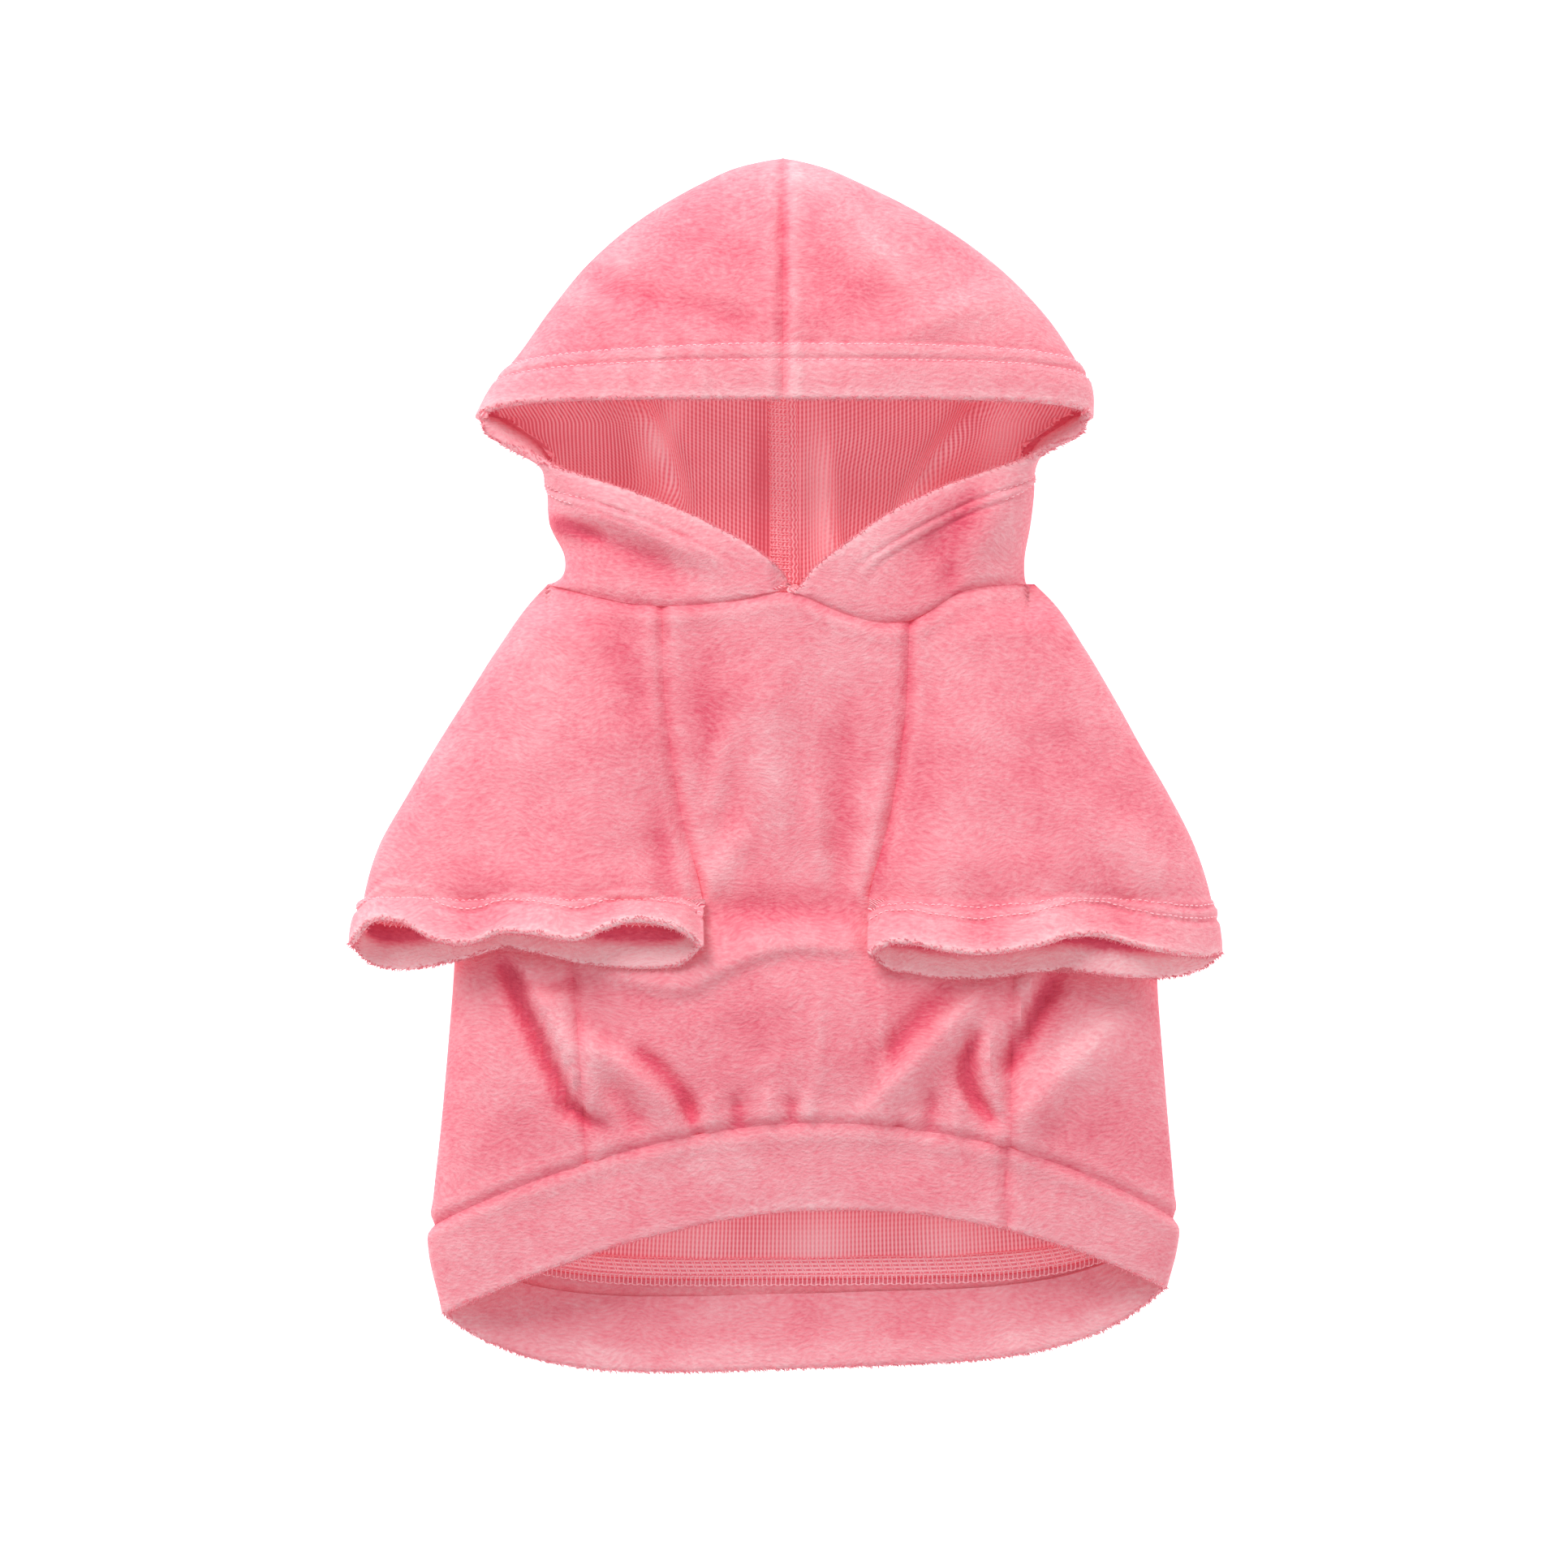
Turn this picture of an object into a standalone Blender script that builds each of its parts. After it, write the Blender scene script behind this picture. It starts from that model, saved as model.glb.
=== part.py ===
# Dog hoodie in velour, laid out flat with its belly side up.
# The hood points along +Y, the waist along -Y, and the back of the garment lies on the surface at z = 0.
# Each panel is one sheet of cloth between its seams, and neighbouring panels share the same seam lines.

import bmesh
import bpy
import numpy as np
from mathutils import Vector

# Main sizes, in metres
HOOD_LENGTH = 0.1382  # neck seam to the tip of the crown
HOOD_HALF_WIDTH = 0.099  # centre seam to a corner of the face opening
NECK_HALF_WIDTH = 0.0775  # half the flat width of the neck seam
BODY_LENGTH = 0.2542  # neck seam to the back hem
BODY_HALF_WIDTH = 0.1206  # half the flat width at the waistband seam
SLEEVE_REACH = 0.141  # middle of the garment to the outer corner of a sleeve hem
CHEST_HALF_WIDTH = 0.040  # half the chest panel at the neck seam
CHEST_HALF_LOW = 0.0268  # half the chest panel between the sleeve hems

# Lengths down from the neck seam
UNDERARM_DROP = 0.102  # to the underarm line
BAND_SEAM_FRONT = 0.1742  # to the waistband seam, middle of the belly side
BAND_SEAM_SIDE = 0.2062  # to the waistband seam at the side folds
BAND_SEAM_BACK = 0.2250  # to the waistband seam, middle of the back
HEM_FRONT = 0.2026  # to the waistband's edge, middle of the belly side
HEM_SIDE = 0.2325  # to the waistband's edge at the side folds
SLEEVE_HEM = 0.1170  # to the corners of the left sleeve's hem
SLEEVE_LIP = 0.0100  # how far a lip of the hem can curve from that line
NECK_DIP = 0.0126  # how far the front neck seam dips at its lowest
FACE_CORNER_UP = 0.391 * HOOD_LENGTH  # neck seam up to the corners of the face opening
FACE_LIP_UP = 0.425 * HOOD_LENGTH  # neck seam up to the middle of the upper lip

# Heights of the laid garment
HOOD_RISE = 0.045
BODY_RISE = 0.034
SIDE_FOLD_RISE = 0.009
CORNER_RISE = 0.013
SLEEVE_PUFF = 0.009
SLEEVE_MOUTH = 0.022

# Cloth, hems, seams and folds
CLOTH_THICKNESS = 0.0016
HEM_THICKNESS = 0.0030
ALLOWANCE_WIDTH = 0.008
ALLOWANCE_THICKNESS = 0.0010
SEAM_GAP = 0.00055
SEAM_STRIP = 0.0014  # cloth beside a seam that lies level with its neighbour
LAYER_GAP = 0.0012
FOLD_WIDTH = 0.006
FOLD_DEPTH = 0.005
OVERLAP_DIP = 0.0048  # how far the left neck edge passes under the right one

# How the garment lies: its body is a little to the right of its hood
BODY_SHIFT = 0.0058
HOOD_SEAM_X = -0.0008
HEM_TILT = 0.0042

NECK_Y = (BODY_LENGTH - HOOD_LENGTH) / 2
UNDERARM_Y = NECK_Y - UNDERARM_DROP
NECK_STRIP_ROW = 1.01 * SEAM_STRIP / UNDERARM_DROP


def table(names, *rows):
    return {name: np.array([row[i] for row in rows]) for i, name in enumerate(names)}


# Rows run from 0 at the neck seam, by 1 at the underarm and 2 at the waistband seam, to 3 at the hem.
# Half width is neck x NECK_HALF_WIDTH + body x BODY_HALF_WIDTH, and the rest are shares of the sizes above.
TORSO = table(
    ("row", "neck", "body", "shift", "rise", "fold"),
    (0.00, 1.00, 0.000, 0.09, 0.97, 1.00),
    (0.33, 0.60, 0.352, 0.50, 0.94, 1.00),
    (0.70, 0.25, 0.689, 0.95, 0.88, 1.00),
    (1.00, 0.00, 0.926, 1.15, 0.86, 0.90),
    (1.33, 0.00, 0.949, 1.09, 0.98, 0.88),
    (1.66, 0.00, 0.973, 1.07, 0.97, 0.86),
    (2.00, 0.00, 1.000, 1.00, 0.84, 0.82),
    (3.00, 0.00, 0.974, 1.03, 0.72, 0.72),
)

# Seams that run down the garment, as shares of the half width, or of the chest's two half widths.
SEAMS = table(
    ("row", "side_left", "side_right", "narrowing", "back_raglan"),
    (0.00, -0.66, 0.60, 0.00, 0.930),
    (0.33, -0.66, 0.60, 0.10, 0.870),
    (0.70, -0.66, 0.60, 0.48, 0.870),
    (1.00, -0.68, 0.60, 1.00, 1.000),
    (1.50, -0.63, 0.575, 1.00, 1.000),
    (2.00, -0.580, 0.553, 1.00, 1.000),
)

# Front neck seam: how far it dips below NECK_Y, against the share of the neck's half width.
NECK_SEAM = table(
    ("across", "dip"),
    (-1.00, 0.00),
    (-0.85, 0.25),
    (-0.56, 0.58),
    (-0.23, 0.46),
    (0.02, 0.25),
    (0.24, 0.77),
    (0.38, 1.00),
    (0.52, 0.96),
    (0.74, 0.20),
    (1.00, 0.00),
)

# Outer edge of the sleeves: share of the way out from the neck fold to the hem corner.
SLEEVE_EDGE = table(
    ("row", "left", "right"),
    (0.00, 0.000, 0.040),
    (0.05, 0.075, 0.124),
    (0.20, 0.248, 0.295),
    (0.36, 0.410, 0.449),
    (0.52, 0.570, 0.592),
    (0.67, 0.710, 0.733),
    (0.83, 0.853, 0.863),
    (1.00, 0.933, 0.950),
    (1.30, 0.970, 0.975),
    (1.70, 0.994, 0.994),
    (2.00, 1.000, 1.000),
)

# Lips of the sleeve hems: how far they lie below SLEEVE_HEM, in shares of SLEEVE_LIP.
# Across runs from the chest (0) to the outer corner (1).
LIPS = table(
    ("across", "left_top", "left_under", "right_top", "right_under"),
    (0.00, 0.00, 0.00, 0.25, 0.25),
    (0.05, -0.50, 0.56, -0.10, 0.72),
    (0.12, -0.80, 0.71, -0.12, 0.88),
    (0.20, -0.88, 0.72, 0.07, 1.04),
    (0.27, -0.65, 0.66, 0.19, 1.06),
    (0.34, -0.28, 0.56, 0.19, 1.03),
    (0.48, -0.44, 0.19, -0.05, 0.83),
    (0.57, -0.47, 0.08, -0.35, 0.79),
    (0.66, -0.10, 0.40, -0.34, 0.94),
    (0.75, -0.20, 0.62, -0.04, 1.03),
    (0.86, -0.83, 0.77, 0.24, 0.99),
    (0.95, -0.70, 0.53, 0.35, 0.70),
    (1.00, 0.01, 0.01, 0.30, 0.30),
)

# Crown of the hood: shares of HOOD_LENGTH above the neck seam, HOOD_HALF_WIDTH, HOOD_RISE and SIDE_FOLD_RISE.
CROWN = table(
    ("row", "up", "left", "right", "rise", "fold"),
    (0.00, 1.000, 0.000, 0.000, 0.13, 0.65),
    (0.08, 0.978, 0.140, 0.125, 0.30, 0.75),
    (0.18, 0.940, 0.262, 0.250, 0.47, 0.90),
    (0.32, 0.861, 0.452, 0.466, 0.66, 1.00),
    (0.48, 0.756, 0.628, 0.680, 0.82, 1.00),
    (0.64, 0.645, 0.757, 0.838, 0.93, 1.00),
    (0.80, 0.541, 0.860, 0.942, 0.98, 1.10),
    (0.91, 0.458, 0.950, 1.004, 1.00, 1.25),
    (1.00, 0.391, 1.000, 1.008, 1.00, 1.45),
)

# Neck of the hood, from the corner of the face opening (row 0) to the neck seam (row 1).
# "in_left" and "in_right" are shares of the way from the corner to the neck's fold, "down" of the way down.
# The lip columns are shares of HOOD_HALF_WIDTH, of the height above the neck seam, and of the neck's rise.
NECK = table(
    ("row", "in_left", "in_right", "down", "left_x", "left_up", "right_x", "right_up", "lip_rise"),
    (0.00, 0.00, 0.00, 0.00, 0.965, 1.020, 0.963, 1.020, 0.66),
    (0.08, 0.12, 0.12, 0.07, 0.985, 0.935, 0.975, 0.917, 0.62),
    (0.18, 0.50, 0.50, 0.16, 0.925, 0.833, 0.900, 0.820, 0.63),
    (0.28, 0.86, 0.80, 0.28, 0.828, 0.755, 0.813, 0.765, 0.67),
    (0.42, 0.98, 0.86, 0.43, 0.687, 0.667, 0.667, 0.676, 0.77),
    (0.60, 1.03, 0.94, 0.63, 0.446, 0.487, 0.485, 0.533, 0.90),
    (0.77, 1.24, 1.03, 0.80, 0.232, 0.315, 0.313, 0.343, 0.96),
    (0.90, 1.20, 1.03, 0.91, 0.060, 0.120, 0.150, 0.130, 0.99),
    (1.00, 1.00, 1.00, 1.00, -0.080, -0.055, 0.030, -0.070, 1.00),
)

# Folds: ends across (shares of BODY_HALF_WIDTH) and down (shares of BODY_LENGTH from the neck seam),
# width in FOLD_WIDTH and height in FOLD_DEPTH, where a ridge is positive and a crease negative.
FOLDS = table(
    ("sheet", "x0", "down0", "x1", "down1", "wide", "high"),
    ("body", -0.683, 0.497, -0.540, 0.668, 1.1, 0.95),
    ("body", -0.770, 0.492, -0.605, 0.673, 0.9, -0.80),
    ("body", -0.471, 0.569, -0.305, 0.660, 1.0, 0.60),
    ("body", -0.500, 0.600, -0.400, 0.680, 0.8, -0.45),
    ("body", -0.192, 0.497, 0.190, 0.455, 1.6, 0.70),
    ("body", -0.150, 0.430, 0.150, 0.412, 1.3, -0.50),
    ("body", -0.181, 0.590, -0.170, 0.668, 0.9, -0.50),
    ("body", -0.072, 0.590, -0.079, 0.668, 0.9, 0.50),
    ("body", 0.092, 0.549, 0.103, 0.642, 1.0, -0.50),
    ("body", 0.200, 0.590, 0.179, 0.668, 0.9, 0.45),
    ("body", 0.506, 0.564, 0.299, 0.664, 1.1, 0.70),
    ("body", 0.473, 0.533, 0.255, 0.647, 0.9, -0.60),
    ("body", 0.640, 0.700, 0.877, 0.569, 1.8, 0.70),
    ("body", 0.724, 0.523, 0.641, 0.626, 1.0, -0.60),
    ("body", -0.072, 0.114, -0.017, 0.300, 2.2, 0.50),
    ("body", -0.225, 0.083, -0.170, 0.331, 1.3, -0.45),
    ("body", 0.157, 0.155, 0.150, 0.350, 1.2, -0.50),
    ("sleeve", -0.460, 0.060, -0.375, 0.170, 1.2, -0.45),
    ("sleeve", -0.800, 0.400, -0.810, 0.470, 1.6, -0.40),
    ("sleeve", -0.640, 0.400, -0.640, 0.470, 1.5, 0.50),
    ("sleeve", -0.470, 0.400, -0.470, 0.470, 1.6, -0.30),
    ("sleeve", 0.500, 0.410, 0.520, 0.480, 1.6, -0.30),
    ("sleeve", 0.700, 0.410, 0.700, 0.480, 1.4, 0.50),
    ("sleeve", 0.890, 0.400, 0.900, 0.480, 1.6, -0.50),
    ("sleeve", 0.700, 0.170, 0.960, 0.300, 2.0, -0.50),
    ("hood", -0.585, -0.388, -0.301, -0.331, 1.8, -0.60),
    ("hood", -0.094, -0.347, -0.080, -0.290, 1.0, -0.45),
    ("hood", 0.092, -0.404, 0.353, -0.321, 1.5, -0.45),
    ("hood", 0.266, -0.311, 0.615, -0.373, 1.2, 0.40),
    ("hood", -0.620, -0.075, -0.430, -0.050, 0.8, -0.70),
    ("hood", 0.500, -0.120, 0.300, -0.060, 1.1, -0.50),
    ("hood_back", -0.390, -0.215, -0.290, -0.070, 1.0, 1.30),
    ("hood_back", 0.520, -0.215, 0.350, -0.080, 1.0, 1.30),
    ("hood_back", 0.100, -0.200, 0.145, -0.060, 0.9, 0.70),
)

# Mesh density of the sheets, in faces
CHEST_FACES = 8
WING_FACES = 5
SIDE_FACES = 6
BACK_FACES = 16
UPPER_FACES = 9
LOWER_FACES = 11
SLEEVE_FACES = 12
SLEEVE_OUTER_FACES = 4
SLEEVE_END_FACES = 3
HOOD_BACK_FACES = 10
HOOD_EDGE_FACES = 6
HOOD_TOP_FACES = 8
CROWN_FACES = 12
NECK_FACES = 9
BAND_FACES = 3

VELOUR_PINK = (0.89, 0.27, 0.36, 1.0)
KNIT_PINK = (0.80, 0.20, 0.27, 1.0)


def read(source, name, at):
    """A smooth curve through one column of a table, against its first column."""
    knots = source[next(iter(source))].astype(float)
    values = source[name].astype(float)
    slopes = np.gradient(values, knots)
    at = np.clip(at, knots[0], knots[-1])
    i = np.clip(np.searchsorted(knots, at) - 1, 0, len(knots) - 2)
    run = knots[i + 1] - knots[i]
    t = (at - knots[i]) / run
    start = values[i] * (1 + 2 * t) * (1 - t) ** 2 + slopes[i] * run * t * (1 - t) ** 2
    end = values[i + 1] * t**2 * (3 - 2 * t) + slopes[i + 1] * run * t**2 * (t - 1)
    return start + end


def mix(a, b, share):
    return a + (b - a) * share


def smoothstep(low, high, at):
    t = np.clip((at - low) / (high - low), 0, 1)
    return t * t * (3 - 2 * t)


def crowned(share, power):
    """Height of a round-shouldered section: 1 in its middle and 0 at its side folds."""
    return np.sqrt(np.clip(1 - np.abs(share) ** power, 0, 1))


def fold_relief(sheet, x, y):
    """Height that the folds of one sheet add at a place."""
    total = np.zeros(np.broadcast(x, y).shape)
    names = ("sheet", "x0", "down0", "x1", "down1", "wide", "high")
    for row in zip(*(FOLDS[name] for name in names)):
        if row[0] != sheet:
            continue
        x0, down0, x1, down1, wide, high = (float(value) for value in row[1:])
        start = np.array([x0 * BODY_HALF_WIDTH, NECK_Y - down0 * BODY_LENGTH])
        run = np.array([x1 * BODY_HALF_WIDTH, NECK_Y - down1 * BODY_LENGTH]) - start
        along = ((x - start[0]) * run[0] + (y - start[1]) * run[1]) / (run @ run)
        on = np.clip(along, 0, 1)
        away = np.hypot(x - start[0] - on * run[0], y - start[1] - on * run[1])
        total += high * FOLD_DEPTH * np.exp(-((away / (wide * FOLD_WIDTH)) ** 2))
    return total


def section_row(row):
    """The strip next to the neck seam keeps the section of the neck."""
    return np.where(row > NECK_STRIP_ROW, row, 0)


def neck_front_y(x):
    across = np.clip(x / NECK_HALF_WIDTH, -1, 1)
    return NECK_Y - NECK_DIP * read(NECK_SEAM, "dip", across)


def neck_back_y(x):
    across = np.clip(x / NECK_HALF_WIDTH, -1, 1)
    return NECK_Y + 0.15 * NECK_DIP * (1 - across**2)


def torso_width(row):
    """Middle and half width of the laid body at a row."""
    half = read(TORSO, "neck", row) * NECK_HALF_WIDTH + read(TORSO, "body", row) * BODY_HALF_WIDTH
    return read(TORSO, "shift", row) * BODY_SHIFT, half


def torso_y(row, share, x, front):
    """Place along the garment: level rows in the chest, bowed ones towards the waist."""
    neck = neck_front_y(x) if front else neck_back_y(x)
    upper = mix(neck, UNDERARM_Y, np.clip(row, 0, 1))
    seam_middle, hem_middle = (BAND_SEAM_FRONT, HEM_FRONT) if front else (BAND_SEAM_BACK, BODY_LENGTH)
    down = np.clip(row - 1, 0, 1)
    into_band = np.clip(row - 2, 0, 1)
    side = mix(UNDERARM_DROP, BAND_SEAM_SIDE, down) + (HEM_SIDE - BAND_SEAM_SIDE) * into_band
    middle = mix(UNDERARM_DROP, seam_middle, down) + (hem_middle - seam_middle) * into_band
    power = np.where(share < 0, 1.75, 2.15) if front else np.where(share < 0, 4.2, 4.7)
    tilt = HEM_TILT * share * np.clip((row - 1) / 2, 0, 1) ** 2
    bowed = NECK_Y - mix(side, middle, 1 - np.abs(share) ** power) + tilt
    return np.where(row <= 1, upper, bowed)


def torso(row, share, front):
    """A point of the body's outer face. Share runs from -1 at the left side fold to 1 at the right one."""
    row, share = np.broadcast_arrays(np.asarray(row, float), np.asarray(share, float))
    section = section_row(row)
    middle, half = torso_width(section)
    x = middle + half * share
    y = torso_y(row, share, x, front)
    fold = read(TORSO, "fold", section) * SIDE_FOLD_RISE
    if front:
        rise = read(TORSO, "rise", section) * BODY_RISE
        round_side = crowned(share, 2.5)
        z = fold + (rise - fold) * round_side
        z = z + fold_relief("body", x, y) * smoothstep(0, 0.6, round_side)
    else:
        z = fold * (1 - crowned(share, 8))
    return np.stack([x, y, z], -1)


def raglan_share(row, side):
    """Where the front sleeve seam meets a row of the body."""
    row = section_row(row)
    middle, half = torso_width(row)
    narrowing = read(SEAMS, "narrowing", row)
    return (side * mix(CHEST_HALF_WIDTH, CHEST_HALF_LOW, narrowing) - middle) / half


def drape_over_body(x, y):
    """Height of a sheet that lies on the belly side and falls to the surface beside it."""
    row = np.clip((NECK_Y - y) / UNDERARM_DROP, 0, 1.6)
    row = np.where(row > 1, 1 + (NECK_Y - y - UNDERARM_DROP) / (BAND_SEAM_SIDE - UNDERARM_DROP), row)
    middle, half = torso_width(row)
    share = np.abs((x - middle) / half)
    fold = read(TORSO, "fold", row) * SIDE_FOLD_RISE
    rise = read(TORSO, "rise", row) * BODY_RISE
    round_side = crowned(share, 2.5)
    on_body = fold + (rise - fold) * round_side + fold_relief("body", x, y) * smoothstep(0, 0.6, round_side)
    beside = rise * (1 - smoothstep(0.78, 1.28, share))
    return np.maximum(np.where(share < 1, on_body, 0), beside)


def sleeve_out_x(row, side):
    neck = side * NECK_HALF_WIDTH + torso_width(0.0)[0]
    out = read(SLEEVE_EDGE, "left" if side < 0 else "right", section_row(row))
    return mix(neck, side * SLEEVE_REACH, out)


def sleeve_top(row, across, side):
    """The upper leaf of a sleeve: row 1 is the underarm, 2 the hem; across is 0 at the chest, 1 outside."""
    row, across = np.broadcast_arrays(np.asarray(row, float), np.asarray(across, float))
    on_body = np.clip(row, 0, 1)
    seam = torso(on_body, raglan_share(on_body, side), True)
    past = np.clip(row - 1, 0, 1)
    out_x = sleeve_out_x(row, side)
    x = mix(seam[..., 0], out_x, across)
    upper = mix(neck_front_y(x), UNDERARM_Y, on_body)
    lip = SLEEVE_HEM + SLEEVE_LIP * read(LIPS, "left_top" if side < 0 else "right_top", across)
    y = np.where(row <= 1, upper, NECK_Y - mix(UNDERARM_DROP, lip, past))
    inner_z = seam[..., 2] + past * SLEEVE_MOUTH / 2 + smoothstep(0.8, 1.0, row) * LAYER_GAP
    outer_z = mix(SIDE_FOLD_RISE, 0.6 * SIDE_FOLD_RISE, smoothstep(0.4, 1.6, row))
    steep = 0.5 + 0.5 * (1 - smoothstep(0.95, 1.25, row))
    shoulder = (1 - (1 - np.clip((across - 0.02) / 0.33, 0, 1)) ** 2) ** steep
    puff = SLEEVE_PUFF * (smoothstep(0.0, 1.0, row) - 0.2 * past)
    high = inner_z + puff * shoulder - outer_z
    z = outer_z + high * crowned(across, 2.3)
    fade = smoothstep(0, 0.12, across) * smoothstep(0, 0.12, 1 - across)
    z = z + fold_relief("sleeve", x, y) * fade
    return np.stack([x, y, z], -1)


def sleeve_under(row, across, side):
    """The lower leaf past the underarm: it lies on the belly side and on the surface beside it."""
    row, across = np.broadcast_arrays(np.asarray(row, float), np.asarray(across, float))
    top = sleeve_top(row, across, side)
    past = np.clip(row - 1, 0, 1)
    x = top[..., 0]
    lip = SLEEVE_HEM + SLEEVE_LIP * read(LIPS, "left_under" if side < 0 else "right_under", across)
    y = NECK_Y - mix(UNDERARM_DROP, lip, past)
    inner = sleeve_top(row, 0.0 * across, side)[..., 2]
    outer = sleeve_top(row, 0.0 * across + 1, side)[..., 2]
    low = drape_over_body(x, y) + LAYER_GAP
    inner_round = crowned(1 - np.clip(across / 0.14, 0, 1), 2)
    outer_round = crowned(np.clip((across - 0.86) / 0.14, 0, 1), 2)
    z = mix(inner, low, mix(1, inner_round, smoothstep(0, 0.5, past)))
    z = mix(outer, z, outer_round)
    return np.stack([x, y, z], -1)


def sleeve_back(row, across, side):
    """The lower leaf above the underarm, from the back raglan seam (across 0) to the outer fold (1)."""
    row, across = np.broadcast_arrays(np.asarray(row, float), np.asarray(across, float))
    seam = torso(row, side * read(SEAMS, "back_raglan", section_row(row)), False)
    out_x = sleeve_out_x(row, side)
    x = mix(seam[..., 0], out_x, across)
    y = mix(neck_back_y(x), UNDERARM_Y, row)
    outer = sleeve_top(row, 0.0 * across + 1, side)[..., 2]
    low = mix(seam[..., 2], 0, smoothstep(0, 0.8, across))
    # Near the underarm this leaf already lies on the fold of the body
    low = np.maximum(low, (drape_over_body(x, y) + LAYER_GAP) * smoothstep(0.80, 1.0, row))
    edge = smoothstep(0.0, 0.25, across)
    low = mix(seam[..., 2], low, edge)
    z = mix(outer, low, crowned(np.clip((across - 0.4) / 0.6, 0, 1), 3))
    return np.stack([x, y, z], -1)


def hood_side_x(row, side):
    """The side fold of the hood at a crown row."""
    out = read(CROWN, "left" if side < 0 else "right", row)
    return HOOD_SEAM_X + side * out * HOOD_HALF_WIDTH


def crown(row, share, side, front):
    """A point of the hood above the face opening. Share is 0 at the centre seam and 1 at the side fold."""
    row, share = np.broadcast_arrays(np.asarray(row, float), np.asarray(share, float))
    x = mix(HOOD_SEAM_X, hood_side_x(row, side), share)
    y = NECK_Y + read(CROWN, "up", row) * HOOD_LENGTH
    bow = FACE_LIP_UP - FACE_CORNER_UP
    fold = read(CROWN, "fold", row) * SIDE_FOLD_RISE
    if front:
        y = y + bow * row**3 * crowned(share, 6)
        rise = read(CROWN, "rise", row) * HOOD_RISE
        z = fold + (rise - fold) * crowned(share, 2.2)
        z = z + fold_relief("hood", x, y) * smoothstep(0, 0.5, crowned(share, 2.2))
    else:
        rumpled = smoothstep(0.12, 0.3, share) * smoothstep(0, 0.1, 1 - share)
        z = fold * (1 - crowned(share, 6)) + fold_relief("hood_back", x, y) * rumpled
    return np.stack([x, y, z], -1)


def neck_fold(row, side):
    """The side fold of the hood's neck, from the corner of the face opening to the neck seam."""
    corner_x = hood_side_x(1.0, side)
    neck_x = torso_width(0.0)[0] + side * NECK_HALF_WIDTH
    x = mix(corner_x, neck_x, read(NECK, "in_left" if side < 0 else "in_right", row))
    y = NECK_Y + FACE_CORNER_UP * (1 - read(NECK, "down", row))
    z = mix(CORNER_RISE, SIDE_FOLD_RISE, smoothstep(0, 0.5, row))
    return np.stack([x, y, z], -1)


def above_neck(row):
    """The section a row of the hood's neck has, and how far it stands above the neck seam's strip."""
    first = 1 - SEAM_STRIP / FACE_CORNER_UP
    strip = np.clip((1 - row) / (1 - first), 0, 1)
    return np.where(row >= first - 1e-6, 1, row), SEAM_GAP + strip * SEAM_STRIP


def neck_flap(row, share, side):
    """The front of the hood below the face opening. Share is 0 at the side fold and 1 at the lip."""
    row, share = np.broadcast_arrays(np.asarray(row, float), np.asarray(share, float))
    row, above = above_neck(row)
    name = "left" if side < 0 else "right"
    fold = neck_fold(row, side)
    lip_x = HOOD_SEAM_X + side * read(NECK, name + "_x", row) * HOOD_HALF_WIDTH
    lip_y = NECK_Y + read(NECK, name + "_up", row) * FACE_CORNER_UP
    lip_z = read(NECK, "lip_rise", row) * TORSO["rise"][0] * BODY_RISE
    x = mix(fold[..., 0], lip_x, share)
    y = mix(fold[..., 1], lip_y, share)
    # The last rows bend to the neck seam of the body
    y = mix(y, neck_front_y(x) + above, smoothstep(0.8, 1.0, row))
    z = fold[..., 2] + (lip_z - fold[..., 2]) * crowned(1 - share, 2.5)
    z = z + fold_relief("hood", x, y) * smoothstep(0, 0.4, share) * smoothstep(0, 0.12, 1 - row)
    if side < 0:
        under = smoothstep(-0.005, 0.0015, x) * smoothstep(0.75, 0.9, row)
        z = z - OVERLAP_DIP * under
        y = y + SEAM_GAP * under
    return np.stack([x, y, z], -1)


def neck_back(row, share, side):
    """The back of the hood below the face opening. Share is 0 at the centre seam and 1 at the side fold."""
    row, share = np.broadcast_arrays(np.asarray(row, float), np.asarray(share, float))
    row, above = above_neck(row)
    fold = neck_fold(row, side)
    x = mix(HOOD_SEAM_X, fold[..., 0], share)
    y = mix(fold[..., 1], neck_back_y(x) + above, row**6)
    rumpled = smoothstep(0.12, 0.3, share) * smoothstep(0, 0.1, 1 - share) * smoothstep(0, 0.2, 1 - row)
    z = fold[..., 2] * (1 - crowned(share, mix(6, 8, row))) + fold_relief("hood_back", x, y) * rumpled
    return np.stack([x, y, z], -1)


def spread(first, last, faces):
    """Evenly spaced values between two columns of values, one line of values for each row."""
    steps = np.linspace(0, 1, faces + 1)
    return np.asarray(first)[..., None] * (1 - steps) + np.asarray(last)[..., None] * steps


def rounded_spread(first, last, faces):
    """Shares of a half section that crowd towards a side fold at -1 or 1."""
    angles = spread(np.arccos(np.clip(first, -1, 1)), np.arccos(np.clip(last, -1, 1)), faces)
    return np.cos(angles)


def velour(name, colour):
    material = bpy.data.materials.new(name)
    material.use_nodes = True
    shader = material.node_tree.nodes["Principled BSDF"]
    shader.inputs["Base Color"].default_value = colour
    shader.inputs["Roughness"].default_value = 0.9
    shader.inputs["Metallic"].default_value = 0.0
    shader.inputs["Sheen Weight"].default_value = 0.6
    return material


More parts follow.
